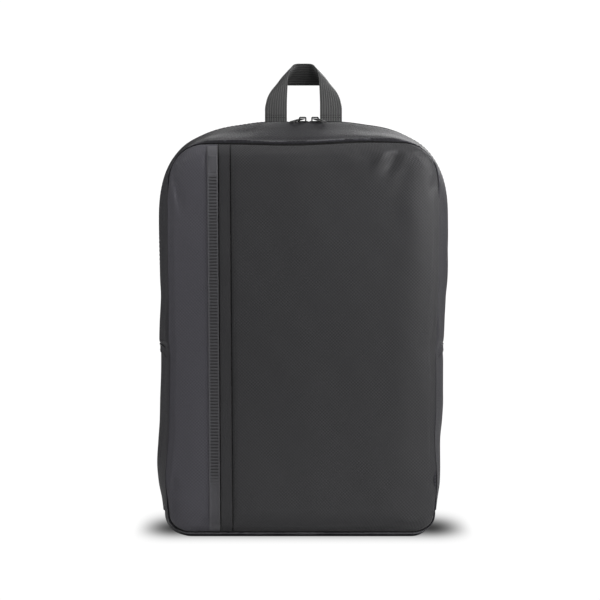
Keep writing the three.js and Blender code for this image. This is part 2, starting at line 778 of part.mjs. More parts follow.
function backPanel() {
  const columns = [0, 0.04, 0.1, 0.3, 0.5, 0.7, 0.9, 0.96, 1];
  const grid = (inner) =>
    FRONT_HEIGHTS.map((z) =>
      columns.map((share) => {
        const x = lerp(-edgeReach(FRONT_EDGE, z, -1), edgeReach(FRONT_EDGE, z, 1), share);
        return new THREE.Vector3(x, inner ? HALF_DEPTH : backSurface(x, z), z);
      }),
    );
  return piece("back_panel", wallGeometry(grid(false), grid(true)), MESH_FINISH);
}

// The grab handle

// Half of the handle as a grid of centres and outward directions, from its sewn foot at the left to
// the middle of the grip. The webbing is rolled over a line at 45 degrees across its corner.
function handleHalf() {
  const legLeft = -HANDLE_SPAN / 2;
  const legY = HALF_DEPTH + BACK_EDGE + BACK_CROWN + GAP + HANDLE_THICKNESS / 2;
  const foot = BAG_HEIGHT - HANDLE_ROOT_DROP;
  const turned = (Math.PI * HANDLE_FOLD_RADIUS) / 2;
  const foldRise = HANDLE_TOP - HANDLE_WIDTH - legLeft - turned * Math.SQRT2;
  const alongFold = new THREE.Vector3(Math.SQRT1_2, 0, Math.SQRT1_2);
  const overFold = new THREE.Vector3(-Math.SQRT1_2, 0, Math.SQRT1_2);
  const backwards = new THREE.Vector3(0, 1, 0);
  const rollStart = (x) => x + foldRise;
  const across = spread(0, 1, 4);
  const column = (share) => {
    const x = legLeft + share * HANDLE_WIDTH;
    const start = rollStart(x);
    const rollEnd = start + Math.PI * HANDLE_FOLD_RADIUS * Math.SQRT2;
    const finish = rollEnd - gripStart(x, start);
    const heights = [
      ...spread(foot, start, 5),
      ...spread(start, rollEnd, 8).slice(1),
      ...spread(rollEnd, finish, 2).slice(1),
    ];
    return heights.map((z) => rolled(x, z));
  };
  // Where the webbing leaves the roll, it still has this far to go to the middle, along itself.
  function gripStart(x, start) {
    const leaving = rolled(x, start + Math.PI * HANDLE_FOLD_RADIUS * Math.SQRT2);
    return leaving.centre.x;
  }
  function pinchAt(z) {
    const up = clamp((z - BAG_HEIGHT) / (HANDLE_TOP - BAG_HEIGHT), 0, 1);
    return readTable(HANDLE_PINCH, "up", "pull", up);
  }
  function rolled(x, z) {
    const point = new THREE.Vector3(x, 0, z - foldRise);
    const along = point.dot(alongFold);
    const beyond = point.dot(overFold);
    const angle = clamp(beyond / HANDLE_FOLD_RADIUS, 0, Math.PI);
    const radial = overFold
      .clone()
      .multiplyScalar(Math.sin(angle))
      .addScaledVector(backwards, -Math.cos(angle));
    const past = beyond - clamp(beyond, 0, Math.PI * HANDLE_FOLD_RADIUS);
    const centre = alongFold
      .clone()
      .multiplyScalar(along)
      .addScaledVector(overFold, past * Math.cos(angle))
      .addScaledVector(radial, HANDLE_FOLD_RADIUS)
      .add(new THREE.Vector3(0, legY + HANDLE_FOLD_RADIUS, foldRise));
    centre.x *= 1 - pinchAt(centre.z) * (centre.x / legLeft) ** 2;
    return { centre, out: radial };
  }
  return across.map(column);
}

function grabHandle() {
  const half = handleHalf();
  const mirror = new THREE.Vector3(-1, 1, 1);
  const grid = (side) =>
    half.map((column) => {
      const left = column.map((station) =>
        station.centre.clone().addScaledVector(station.out, (side * HANDLE_THICKNESS) / 2),
      );
      const right = left.slice(0, -1).map((point) => point.clone().multiply(mirror));
      return [...left, ...right.reverse()];
    });
  return piece("grab_handle", wallGeometry(grid(1), grid(-1)), WEBBING_FINISH);
}

// Shoulder straps, with everything below them lying along one straight line to the anchor

function strapLayout(hand) {
  const topX = STRAP_TOP_ACROSS;
  const backFull = HALF_DEPTH + BACK_EDGE + BACK_CROWN;
  const backTop = backFull + GAP + STRAP_THICKNESS / 2;
  const end = new THREE.Vector3(STRAP_END_ACROSS, HALF_DEPTH + STRAP_END_OUT, STRAP_END_HEIGHT);
  const anchorInside = ANCHOR_ACROSS - ANCHOR_FOOT_WIDTH / 2;
  const anchorY = backSurface(anchorInside, ANCHOR_HEIGHT) + GAP + ANCHOR_THICKNESS + ANCHOR_BEHIND;
  const anchor = new THREE.Vector3(ANCHOR_ACROSS, anchorY, ANCHOR_HEIGHT);
  const down = anchor.clone().sub(end).normalize();
  const beforeEnd = end.clone().addScaledVector(down, -STRAP_END_WIDTH);
  const bow = backFull + STRAP_BOW;
  const drop = STRAP_TOP_HEIGHT - STRAP_END_HEIGHT;
  const route = [
    new THREE.Vector3(topX, backTop, STRAP_TOP_HEIGHT),
    new THREE.Vector3(topX, backTop + 1.5, STRAP_TOP_HEIGHT - STRAP_SEAT),
    new THREE.Vector3(lerp(topX, end.x, 0.08), lerp(backTop, bow, 0.5), STRAP_TOP_HEIGHT - drop * 0.17),
    new THREE.Vector3(lerp(topX, end.x, 0.25), bow, STRAP_TOP_HEIGHT - drop * 0.35),
    new THREE.Vector3(lerp(topX, end.x, 0.55), bow, STRAP_TOP_HEIGHT - drop * 0.6),
    beforeEnd,
    end,
  ].map((point) => point.multiply(new THREE.Vector3(hand, 1, 1)));
  down.x *= hand;
  const across = acrossOf(down);
  const out = new THREE.Vector3().crossVectors(down, across).negate();
  if (out.y < 0) out.negate();
  const length = route[route.length - 1].distanceTo(anchor.multiply(new THREE.Vector3(hand, 1, 1)));
  return { route, down, across, out, end: route[route.length - 1], length };
}

function acrossOf(direction) {
  const across = new THREE.Vector3(1, 0, 0);
  return across.addScaledVector(direction, -across.dot(direction)).normalize();
}

function shoulderStrap(side, layout) {
  const curve = new THREE.CatmullRomCurve3(layout.route, false, "centripetal");
  const steps = 20;
  const stations = range(steps + 1).map((index) => {
    const direction = curve.getTangentAt(index / steps);
    const across = acrossOf(direction);
    const out = new THREE.Vector3().crossVectors(across, direction);
    return { centre: curve.getPointAt(index / steps), across, out };
  });
  const taper = (share) => THREE.MathUtils.smoothstep(share, 0.45, 1);
  const section = (share) =>
    paddedSection(
      lerp(STRAP_WIDTH, STRAP_END_WIDTH, taper(share)),
      lerp(STRAP_THICKNESS, STRAP_END_THICKNESS, taper(share)),
    );
  return piece("shoulder_strap_" + side, sweepGeometry(stations, section), MESH_FINISH);
}

// The stations of a band that lies on a path. Places are along the straight line below the strap and out from it.
function bandStations(layout, path) {
  return path.map(([along, out], index) => {
    const before = path[Math.max(index - 1, 0)];
    const after = path[Math.min(index + 1, path.length - 1)];
    const direction = new THREE.Vector2(after[0] - before[0], after[1] - before[1]).normalize();
    const centre = layout.end
      .clone()
      .addScaledVector(layout.down, along)
      .addScaledVector(layout.out, out);
    const normal = layout.out
      .clone()
      .multiplyScalar(direction.x)
      .addScaledVector(layout.down, -direction.y);
    return { centre, across: layout.across, out: normal };
  });
}

// The path of a band round a bar, with straight runs of the given lengths on both sides of it.
function hairpin(barAlong, turnToward, backRun, frontRun) {
  const radius = BAND_OUT;
  const turnCentre = barAlong + turnToward * (BUCKLE_BAR / 2 - BUCKLE_CLEARANCE);
  const turn = spread(-90, 90, 6).map((degrees) => {
    const angle = THREE.MathUtils.degToRad(degrees);
    return [turnCentre + turnToward * radius * Math.cos(angle), radius * Math.sin(angle)];
  });
  return [
    [barAlong - turnToward * backRun, -radius],
    ...turn,
    [barAlong - turnToward * frontRun, radius],
  ];
}

// How far a band's middle runs from the buckle's middle plane, and how far in the anchor lies
const BAND_OUT = BUCKLE_THICKNESS / 2 + BUCKLE_CLEARANCE + WEBBING_THICKNESS / 2;
const ANCHOR_BEHIND = BAND_OUT + WEBBING_THICKNESS / 2 + GAP;

// Places of the buckle's three bars along the line below the strap
const TOP_BAR = BUCKLE_BELOW_STRAP;
const MIDDLE_BAR = TOP_BAR + BUCKLE_BAR + BUCKLE_WINDOW;
const LOW_BAR = MIDDLE_BAR + BUCKLE_BAR + BUCKLE_WINDOW;

function strapLoop(side, layout) {
  const run = TOP_BAR - GAP - WEBBING_THICKNESS;
  const stations = bandStations(layout, hairpin(TOP_BAR, 1, run, run));
  const section = () => flatSection(WEBBING_WIDTH, WEBBING_THICKNESS);
  return piece("strap_loop_" + side, sweepGeometry(stations, section), WEBBING_FINISH);
}

function strapBuckle(side, layout) {
  const height = LOW_BAR - TOP_BAR + BUCKLE_BAR;
  const frame = roundedRectangle(BUCKLE_WIDTH, height, 3);
  const half = WEBBING_WIDTH / 2 + BUCKLE_CLEARANCE * 2;
  [1, -1].forEach((direction) => {
    const near = (direction * BUCKLE_BAR) / 2;
    const far = near + direction * BUCKLE_WINDOW;
    frame.holes.push(rectangleHole(-half, Math.min(near, far), half, Math.max(near, far)));
  });
  const geometry = new THREE.ExtrudeGeometry(frame, {
    depth: BUCKLE_THICKNESS,
    bevelEnabled: false,
    curveSegments: 3,
  });
  geometry.translate(0, 0, -BUCKLE_THICKNESS / 2);
  const mesh = piece("strap_buckle_" + side, geometry, PLASTIC_FINISH);
  mesh.position.copy(layout.end).addScaledVector(layout.down, MIDDLE_BAR);
  const up = layout.down.clone().negate();
  const normal = new THREE.Vector3().crossVectors(layout.across, up);
  mesh.setRotationFromMatrix(new THREE.Matrix4().makeBasis(layout.across, up, normal));
  return mesh;
}

// The webbing comes up from the anchor behind the buckle, over its middle bar and down in front.
function strapWebbing(side, layout) {
  const run = layout.length - MIDDLE_BAR;
  const stations = bandStations(layout, hairpin(MIDDLE_BAR, -1, run, WEBBING_TAIL));
  const section = () => flatSection(WEBBING_WIDTH, WEBBING_THICKNESS);
  return piece("strap_webbing_" + side, sweepGeometry(stations, section), WEBBING_FINISH);
}

// A tapered cloth tab under the webbing's end, sewn in at the bag's lower corner
function strapAnchor(side, layout) {
  const shape = new THREE.Shape();
  shape.moveTo(-ANCHOR_TOP_WIDTH / 2, ANCHOR_LENGTH);
  shape.lineTo(-ANCHOR_FOOT_WIDTH / 2, 0);
  shape.lineTo(ANCHOR_FOOT_WIDTH / 2, 0);
  shape.lineTo(ANCHOR_TOP_WIDTH / 2, ANCHOR_LENGTH);
  shape.closePath();
  const geometry = new THREE.ExtrudeGeometry(shape, { depth: ANCHOR_THICKNESS, bevelEnabled: false });
  const mesh = piece("strap_anchor_" + side, geometry, CLOTH_FINISH);
  mesh.position
    .copy(layout.end)
    .addScaledVector(layout.down, layout.length)
    .addScaledVector(layout.out, -ANCHOR_BEHIND - ANCHOR_THICKNESS);
  const up = layout.down.clone().negate();
  mesh.setRotationFromMatrix(new THREE.Matrix4().makeBasis(layout.across, up, layout.out));
  if (layout.across.clone().cross(up).dot(layout.out) < 0) {
    const basis = new THREE.Matrix4().makeBasis(layout.across.clone().negate(), up, layout.out);
    mesh.setRotationFromMatrix(basis);
  }
  return mesh;
}

// Zip sliders and pull tabs

const SLIDER_UNDER = BAG_HEIGHT - ZIP_COIL_SINK + GAP;
const BRIDGE_FOOT = SLIDER_UNDER + SLIDER_PLATE;
const PULL_PIVOT = BRIDGE_FOOT + BRIDGE_HOLE - 0.4 - PULL_THICKNESS / 2;

const wasm = await Module();
wasm.setup();

function asSolid(geometry) {
  const bare = geometry.clone();
  bare.deleteAttribute("normal");
  bare.deleteAttribute("uv");
  const merged = mergeVertices(bare);
  return new wasm.Manifold(
    new wasm.Mesh({
      numProp: 3,
      vertProperties: merged.attributes.position.array,
      triVerts: new Uint32Array(merged.index.array),
    }),
  );
}

function joined(first, second) {
  const mesh = asSolid(first).add(asSolid(second)).getMesh();
  const geometry = new THREE.BufferGeometry();
  geometry.setAttribute("position", new THREE.BufferAttribute(mesh.vertProperties, 3));
  geometry.setIndex(new THREE.BufferAttribute(mesh.triVerts, 1));
  geometry.computeVertexNormals();
  return geometry;
}

// A slider: a plate over the coil with a bridge that stands along the zip
function zipSlider(side) {
  const plateShape = roundedRectangle(SLIDER_LENGTH, SLIDER_WIDTH, 2.2);
  const plate = new THREE.ExtrudeGeometry(plateShape, {
    depth: SLIDER_PLATE,
    bevelEnabled: false,
    curveSegments: 4,
  });
  const sunk = SLIDER_PLATE / 2;
  const bridgeHeight = BRIDGE_HOLE + BRIDGE_WIRE;
  const bridgeShape = new THREE.Shape();
  const half = BRIDGE_LENGTH / 2;
  bridgeShape.moveTo(-half, -sunk);
  bridgeShape.lineTo(half, -sunk);
  bridgeShape.lineTo(half, bridgeHeight - BRIDGE_WIRE);
  bridgeShape.absarc(half - BRIDGE_WIRE, bridgeHeight - BRIDGE_WIRE, BRIDGE_WIRE, 0, Math.PI / 2);
  bridgeShape.lineTo(-half + BRIDGE_WIRE, bridgeHeight);
  bridgeShape.absarc(-half + BRIDGE_WIRE, bridgeHeight - BRIDGE_WIRE, BRIDGE_WIRE, Math.PI / 2, Math.PI);
  bridgeShape.closePath();
  const inner = half - BRIDGE_WIRE;
  bridgeShape.holes.push(rectangleHole(-inner, 0, inner, BRIDGE_HOLE));
  const bridge = new THREE.ExtrudeGeometry(bridgeShape, {
    depth: BRIDGE_WIDTH,
    bevelEnabled: false,
    curveSegments: 4,
  });
  bridge.rotateX(Math.PI / 2);
  bridge.translate(0, BRIDGE_WIDTH / 2, SLIDER_PLATE);
  const mesh = piece("zip_slider_" + side, joined(plate, bridge), METAL_FINISH);
  mesh.position.set(SLIDER_CENTRES[side], ZIP_PLACE, SLIDER_UNDER);
  return mesh;
}

// A pull tab: its eye's end bar passes under the bridge, and its flat end lies out over the cloth.
function pullTab(side, hand) {
  const shape = new THREE.Shape();
  const half = PULL_WIDTH / 2;
  const start = -PULL_RIM / 2;
  const corner = 1.2;
  shape.moveTo(start, -half);
  shape.lineTo(PULL_LENGTH - corner, -half);
  shape.lineTo(PULL_LENGTH, -half + corner);
  shape.lineTo(PULL_LENGTH, half - corner);
  shape.lineTo(PULL_LENGTH - corner, half);
  shape.lineTo(start, half);
  shape.closePath();
  const eyeStart = start + PULL_RIM;
  const inside = half - PULL_RIM;
  shape.holes.push(rectangleHole(eyeStart, -inside, eyeStart + PULL_EYE_LENGTH, inside));
  shape.holes.push(rectangleHole(PULL_WINDOW_START, -inside + 1, PULL_WINDOW_END, inside - 1));
  const geometry = new THREE.ExtrudeGeometry(shape, { depth: PULL_THICKNESS, bevelEnabled: false });
  geometry.translate(0, hand * PULL_EYE_SHIFT, -PULL_THICKNESS / 2);
  const mesh = piece("pull_tab_" + side, geometry, METAL_FINISH);
  mesh.position.set(SLIDER_CENTRES[side], ZIP_PLACE, PULL_PIVOT);
  const heading = hand < 0 ? Math.PI + PULL_YAW[side] : -PULL_YAW[side];
  mesh.rotation.set(0, PULL_REST_TILT, heading, "ZYX");
  return mesh;
}

const backpack = new THREE.Group();
backpack.add(
  frontPanelMain(),
  frontPanelSide(),
  pocketPlacket(),
  trimTape(),
  gussetFront(),
  gussetBack(),
  gussetBase(),
  mainZip(),
  backPanel(),
  grabHandle(),
);
[
  ["left", -1],
  ["right", 1],
].forEach(([side, hand]) => {
  const layout = strapLayout(hand);
  backpack.add(
    sidePocket(side, hand),
    sidePocketHem(side, hand),
    shoulderStrap(side, layout),
    strapLoop(side, layout),
    strapBuckle(side, layout),
    strapWebbing(side, layout),
    strapAnchor(side, layout),
    zipSlider(side),
    pullTab(side, hand),
  );
});

export default backpack;
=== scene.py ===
import math

import bpy
import numpy as np
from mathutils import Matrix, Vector


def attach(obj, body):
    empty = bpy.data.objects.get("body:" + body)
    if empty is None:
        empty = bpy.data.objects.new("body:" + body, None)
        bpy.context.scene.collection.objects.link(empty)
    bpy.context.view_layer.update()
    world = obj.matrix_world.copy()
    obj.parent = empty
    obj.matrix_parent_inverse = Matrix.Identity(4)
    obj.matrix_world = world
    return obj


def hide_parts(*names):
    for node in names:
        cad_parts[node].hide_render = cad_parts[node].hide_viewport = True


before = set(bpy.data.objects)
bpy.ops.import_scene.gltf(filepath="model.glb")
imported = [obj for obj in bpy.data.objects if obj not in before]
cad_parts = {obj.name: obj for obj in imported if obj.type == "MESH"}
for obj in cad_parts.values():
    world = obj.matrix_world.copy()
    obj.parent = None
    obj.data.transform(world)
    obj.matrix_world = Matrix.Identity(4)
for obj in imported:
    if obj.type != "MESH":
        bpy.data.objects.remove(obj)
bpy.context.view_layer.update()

MM = 0.001
BODY = "bag"

# Sizes of the bag in millimetres, as in the solids
BAG_HEIGHT, BAG_DEPTH = 430.0, 130.0
CLOTH, GAP = 2.0, 0.3
CREST = {"half": 150.0, "top": 430.0, "across": 110.0, "down": 97.0, "power": 2.63, "arch": 4.5}
SEAM = {"half": 139.5, "top": 405.5, "across": 36.0, "down": 36.0, "power": 2.0, "arch": 1.5}
SEAM_LIFT, SEAM_SETBACK, SEAM_WAIST = 4.0, 0.5, 0.5
FLOOR_ROLL, FOOT_RADIUS = 9.0, 22.0
ZIP_FROM_FRONT, ZIP_CHANNEL = 60.0, 9.0
JOIN_HEIGHT, JOIN_GAP = 203.0, 0.9
FRONT_CROWN, FRONT_SIDE_ROLL, FRONT_TOP_ROLL, EDGE_ROLL = 13.0, 46.0, 24.0, 11.0
PANEL_EDGE_GAP = 1.4
TAPE_CENTRE, TAPE_WIDTH, TAPE_THICKNESS, TAPE_LEAN, TAPE_END_GAP = -94.6, 11.0, 1.4, 3.0, 2.0
PLACKET_WIDTH, PLACKET_RECESS, FOLD_ROLL = 13.0, 1.8, 6.0
POCKET_CLOTH, POCKET_FOOT, POCKET_TOP, POCKET_FRONT_DIP = 1.6, 26.0, 200.0, 10.0
POCKET_HEM_HEIGHT, POCKET_HEM_THICKNESS = 9.0, 2.4
WALL_STEP, WALL_FOOT_FADE = 6.0, 40.0
BACK_EDGE, BACK_CROWN, BACK_ROLL = 3.0, 5.0, 30.0

HALF_DEPTH = BAG_DEPTH / 2
SHELL_END = HALF_DEPTH - SEAM_SETBACK
ZIP_PLACE = -HALF_DEPTH + ZIP_FROM_FRONT
STEP_TOP = JOIN_HEIGHT - JOIN_GAP - CLOTH
SIDES = (("left", -1), ("right", 1))

# How the strips swell out from a seam to the zip: share of the way, share of the swell
FRONT_SLOPE = [
    (0, 0), (0.025, 0.1), (0.07, 0.13), (0.25, 0.33), (0.5, 0.6), (0.75, 0.85), (0.9, 0.96), (1, 1),
]
BACK_SLOPE = [(0, 0), (0.06, 0.2), (0.22, 0.52), (0.42, 0.77), (0.65, 0.92), (0.85, 0.985), (1, 1)]
# How much wider or narrower the sides are: share of the height, at the left, at the right
SIDE_WAIST = [
    (0, -0.04, -0.094), (0.05, -0.039, -0.093), (0.085, -0.031, -0.085), (0.13, -0.009, -0.069),
    (0.18, 0.001, -0.064), (0.23, -0.005, -0.063), (0.28, -0.015, -0.051), (0.33, -0.019, -0.043),
    (0.42, -0.027, -0.043), (0.458, -0.025, -0.049), (0.472, -0.011, -0.039), (0.52, -0.011, -0.029),
    (0.57, -0.011, -0.014), (0.62, -0.005, -0.002), (0.74, 0.003, 0.003), (1, 0, 0),
]
# How much narrower the handle is: share of its height, share of its width
HANDLE_PINCH = [(0, 0), (0.2, 0), (0.34, 0.036), (0.48, 0.115), (0.62, 0.236), (0.755, 0.35),
                (0.865, 0.72), (0.963, 1.5), (1, 1.5)]
# Folds and dents of the front: across and height in mm, half-width, half-length, turn in degrees,
# depth in mm, where a ridge has a depth below zero
FRONT_DENTS = [
    (93.0, 386.0, 6.0, 14.0, -34, 3.6), (82.0, 393.0, 6.0, 13.0, -36, -3.2),
    (104.0, 372.0, 9.0, 24.0, -24, 1.3), (-100.6, 388.5, 2.4, 8.0, 0, 2.0),
    (-137.0, 362.0, 3.2, 20.0, 12, -2.2), (-131.0, 356.0, 4.0, 18.0, 12, 1.5),
    (134.0, 362.0, 3.5, 8.0, -6, 2.2), (-131.5, 55.0, 3.5, 9.0, 4, 2.2),
    (131.5, 57.0, 3.5, 9.0, -6, 2.4), (-104.0, 13.5, 8.0, 6.0, 12, 2.6),
    (106.0, 14.5, 8.0, 6.0, -10, -1.6), (118.0, 120.0, 12.0, 60.0, 5, 0.8),
    (-58.0, 397.0, 7.0, 7.0, 20, 0.9), (20.0, 396.0, 16.0, 7.0, 10, 0.7),
    (116.0, 320.0, 13.0, 45.0, 3, -1.0), (60.0, 396.0, 9.0, 7.0, -14, 1.0),
]
# How the filled bag pulls its seams, in millimetres: the sides forward, the foot up and out, and
# the shoulders down
SIDE_FORWARD = 4.5
FOOT_DRAWN_UP, FOOT_DRAWN_OUT = 1.2, 3.4
SHOULDER_DROP = 1.9
# Where the shoulders hang: distances across between which it begins and ends, and heights
SHOULDER_BEGINS, SHOULDER_ENDS, SHOULDER_HEIGHTS = (38, 70), (104, 130), (385, 410)
# The wave of the top seam: its middle and half-width across, how far it swings and is lifted
WAVE_MIDDLE, WAVE_HALF, WAVE_SWING, WAVE_LIFT = 20, 95, 1.3, 2.2
# Heights between which the corners at the foot and at the top pass into the flat sides
LOW_CORNER, HIGH_CORNER = (22, 62), (345, 385)


def monotone(rows, column, at):
    """Smooth reading of a table without overshoot."""
    xs = np.array([row[0] for row in rows], float)
    ys = np.array([row[column] for row in rows], float)
    widths = np.diff(xs)
    slopes = np.diff(ys) / widths
    bends = np.zeros_like(ys)
    for i in range(1, len(xs) - 1):
        if slopes[i - 1] * slopes[i] > 0:
            low = 2 * widths[i] + widths[i - 1]
            high = widths[i] + 2 * widths[i - 1]
            bends[i] = (low + high) / (low / slopes[i - 1] + high / slopes[i])
    bends[0], bends[-1] = slopes[0], slopes[-1]
    at = np.clip(np.asarray(at, float), xs[0], xs[-1])
    i = np.clip(np.searchsorted(xs, at) - 1, 0, len(widths) - 1)
    t = (at - xs[i]) / widths[i]
    start = (1 + 2 * t) * (1 - t) ** 2 * ys[i] + t * (1 - t) ** 2 * widths[i] * bends[i]
    end = t * t * (3 - 2 * t) * ys[i + 1] + t * t * (t - 1) * widths[i] * bends[i + 1]
    return start + end


def lerp(a, b, t):
    return a + (b - a) * t


def rise(share):
    left = 1 - np.clip(share, 0, 1)
    return np.sqrt(np.maximum(0, 1 - left * left))


def smooth(low, high, at):
    t = np.clip((at - low) / (high - low), 0, 1)
    return t * t * (3 - 2 * t)


def bell(at, middle, width):
    return np.exp(-(((at - middle) / width) ** 2))


def xyz(x, y, z):
    """Points from their three coordinates, spread over one grid."""
    return np.stack(np.broadcast_arrays(x, y, z), -1)


def swell_at(y):
    """How far the strips have swelled out, from 0 at a seam to 1 at the zip."""
    front = monotone(FRONT_SLOPE, 1, (y + HALF_DEPTH) / ZIP_FROM_FRONT)
    back = monotone(BACK_SLOPE, 1, (HALF_DEPTH - y) / (BAG_DEPTH - ZIP_FROM_FRONT))
    return np.where(y < ZIP_PLACE, front, back)


def outline_at(y):
    swell = swell_at(y)
    outline = {key: lerp(SEAM[key], CREST[key], swell) for key in SEAM}
    outline["swell"] = swell
    from_seam = HALF_DEPTH - np.abs(y)
    outline["bottom"] = SEAM_LIFT * (1 - rise(from_seam / FLOOR_ROLL))
    return outline


def waist_at(z, hand, swell):
    """How much wider or narrower the bag is at each height, as a factor."""
    up = z / BAG_HEIGHT
    waist = np.where(hand < 0, monotone(SIDE_WAIST, 1, up), monotone(SIDE_WAIST, 2, up))
    return 1 + waist * lerp(SEAM_WAIST, 1, swell)


def hem_height(y):
    return POCKET_TOP - POCKET_FRONT_DIP * np.maximum(0, -y / HALF_DEPTH) ** 2


def path_at(y, place):
    """What both paths round the bag start from: depths, outline, side and distance from the join."""
    y, place = np.broadcast_arrays(np.asarray(y, float), np.asarray(place, float))
    return y, outline_at(y), np.where(place < 0, -1.0, 1.0), 3 - np.abs(place)


def over_top(y, place):
    """Points over the top of the bag, from the left join (-3) to the right join (3)."""
    y, outline, hand, along = path_at(y, place)
    foot = outline["top"] - outline["down"] - outline["arch"]
    power = 2 / outline["power"]
    x = np.array(outline["half"])
    z = lerp(JOIN_HEIGHT, foot, np.minimum(along, 1))
    angle = np.clip(along - 1, 0, 1) * math.pi / 2
    corner_x = outline["half"] - outline["across"] * (1 - np.cos(angle).clip(0, 1) ** power)
    corner_z = outline["top"] - outline["down"] * (1 - np.sin(angle).clip(0, 1) ** power)
    x = np.where(along > 1, corner_x, x)
    z = np.where(along > 1, corner_z, z)
    x = np.where(along > 2, (outline["half"] - outline["across"]) * (3 - along), x)
    z = np.where(along > 2, outline["top"], z)
    z = np.where(along > 1, z - outline["arch"] * (x / outline["half"]) ** 2, z)
    x = x * waist_at(z, hand, outline["swell"])
    return xyz(hand * x, y, z)


def under_foot(y, place, flat_walls=True):
    """Points round the foot of the bag, from the left join (-3) to the right join (3)."""
    y, outline, hand, along = path_at(y, place)
    corner_top = outline["bottom"] + FOOT_RADIUS
    angle = np.clip(along - 1, 0, 1) * math.pi / 2
    z = np.where(along < 1, lerp(JOIN_HEIGHT, corner_top, along), corner_top - FOOT_RADIUS * np.sin(angle))
    stepped = smooth(0, 1, (np.minimum(STEP_TOP, hem_height(y)) - z) / WALL_STEP)
    flat = stepped * rise((z - POCKET_FOOT) / WALL_FOOT_FADE) if flat_walls else 0 * z
    half = lerp(outline["half"], SEAM["half"], flat) * waist_at(z, hand, outline["swell"])
    x = half - FOOT_RADIUS * (1 - np.cos(angle))
    x = np.where(along > 2, (half - FOOT_RADIUS) * (3 - along), x)
    z = np.where(along > 2, outline["bottom"], z)
    return xyz(hand * x, y, z)


def pocket_line(y, place):
    return under_foot(y, place, False)


def place_of_height(z, hand):
    return hand * (3 - (JOIN_HEIGHT - z) / (JOIN_HEIGHT - FOOT_RADIUS))


def outwards(point, y, place):
    """Directions out of the bag's surface, by small steps along its two ways."""
    step = 0.01
    back = np.where(y + step > SHELL_END, 0, step)
    front = np.where(y - step < -SHELL_END, 0, step)
    along_depth = point(y + back, place) - point(y - front, place)
    along_path = point(y, np.minimum(place + step, 3)) - point(y, np.maximum(place - step, -3))
    normal = np.cross(along_depth, along_path)
    normal /= np.linalg.norm(normal, axis=-1, keepdims=True) + 1e-12
    away = point(y, place) - np.array([0, 0, BAG_HEIGHT / 2])
    flip = np.sign((normal * away).sum(-1, keepdims=True))
    return normal * np.where(flip == 0, 1, flip)


def ripples(seed, a, b, pitch, count=5, stretch=1.0):
    """Soft seeded waves over two coordinates in millimetres, about from -1 to 1."""
    rng = np.random.default_rng(seed)
    total = np.zeros(np.broadcast(a, b).shape)
    for _ in range(count):
        turn = rng.uniform(0, 2 * math.pi)
        length = pitch * rng.uniform(0.7, 1.5)
        phase = rng.uniform(0, 2 * math.pi)
        total = total + np.sin(
            2 * math.pi * (a * math.cos(turn) + b * math.sin(turn) / stretch) / length + phase
        )
    return total / math.sqrt(count)


def beside(z):
    """1 along the sides, where the seams are drawn flat, and 0 at the corners."""
    return smooth(*LOW_CORNER, z) * (1 - smooth(*HIGH_CORNER, z))


def drawn(points):
    """Along the sides the filled bag draws the strips forward at the seam, and its shoulders hang."""
    pulled = sagged(points)
    x, y, z = points[..., 0], points[..., 1], points[..., 2]
    hanging = smooth(*SHOULDER_BEGINS, np.abs(x)) * (1 - smooth(*SHOULDER_ENDS, np.abs(x)))
    hanging = hanging * smooth(*SHOULDER_HEIGHTS, z)
    pulled[..., 2] = pulled[..., 2] - SHOULDER_DROP * hanging * smooth(-60, -30, y)
    pulled[..., 1] = y - SIDE_FORWARD * beside(z) * (1 - smooth(-HALF_DEPTH, -HALF_DEPTH + 26, y))
    return pulled


def sagged(points):
    """The top seam isn't straight: it hangs a little at the left and is drawn up at the right."""
    x, y, z = points[..., 0], points[..., 1], points[..., 2]
    near = smooth(330, 400, z) * (1 - smooth(-60, -20, y))
    wave = WAVE_SWING * np.sin((x - WAVE_MIDDLE) / 38.0) * bell(x, WAVE_MIDDLE, WAVE_HALF)
    wave = wave - 0.5 * np.cos(x / 25.0)
    lifted = np.array(points)
    at_front = 1 - smooth(-64.5, -56, y)
    foot = FOOT_DRAWN_UP * (1 - smooth(3, 18, z)) * at_front
    lifted[..., 2] = z + near * (wave + WAVE_LIFT + 0.4 * x / 100) + foot
    wide = FOOT_DRAWN_OUT * smooth(90, 138, np.abs(x)) * (1 - smooth(45, 110, z)) * at_front
    lifted[..., 0] = x + np.sign(x) * wide
    return lifted


# Meshes from grids


def linked(name, data):
    obj = bpy.data.objects.new(name, data)
    bpy.context.scene.collection.objects.link(obj)
    return obj


def add_weave(mesh, weave):
    """Where each point lies in the cloth, for the materials."""
    attribute = mesh.attributes.new("weave", "FLOAT_VECTOR", "POINT")
    attribute.data.foreach_set("vector", np.asarray(weave, np.float32).ravel())


def mesh_object(name, points, faces, weave=None):
    mesh = bpy.data.meshes.new(name)
    mesh.from_pydata((np.asarray(points) * MM).tolist(), [], faces)
    if weave is not None:
        add_weave(mesh, weave)
    mesh.validate()
    return linked(name, mesh)


def finish_piece(obj, material, replaces=(), sharp=38):
    """Gives a piece its material and shading, and tells which body it rides on."""
    mesh = obj.data
    mesh.materials.clear()
    mesh.materials.append(MATERIALS[material])
    mesh.polygons.foreach_set("use_smooth", [True] * len(mesh.polygons))
    mesh.set_sharp_from_angle(angle=math.radians(sharp))
    mesh.update()
    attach(obj, BODY)
    if replaces:
        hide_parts(*replaces)


def add_painted_light_and_shade(obj, painted_light_and_shade):
    """Painted light and shade at each point of both sides, from 0, black, to 1, the cloth's own colour."""
    attribute = obj.data.attributes.new("painted_light_and_shade", "FLOAT", "POINT")
    attribute.data.foreach_set("value", np.concatenate([painted_light_and_shade.ravel()] * 2).astype(np.float32))


def grid_faces(rows, columns, offset=0, flip=False):
    index = np.arange(rows * columns).reshape(rows, columns) + offset
    quads = np.stack([index[:-1, :-1], index[:-1, 1:], index[1:, 1:], index[1:, :-1]], -1).reshape(-1, 4)
    return quads[:, ::-1] if flip else quads


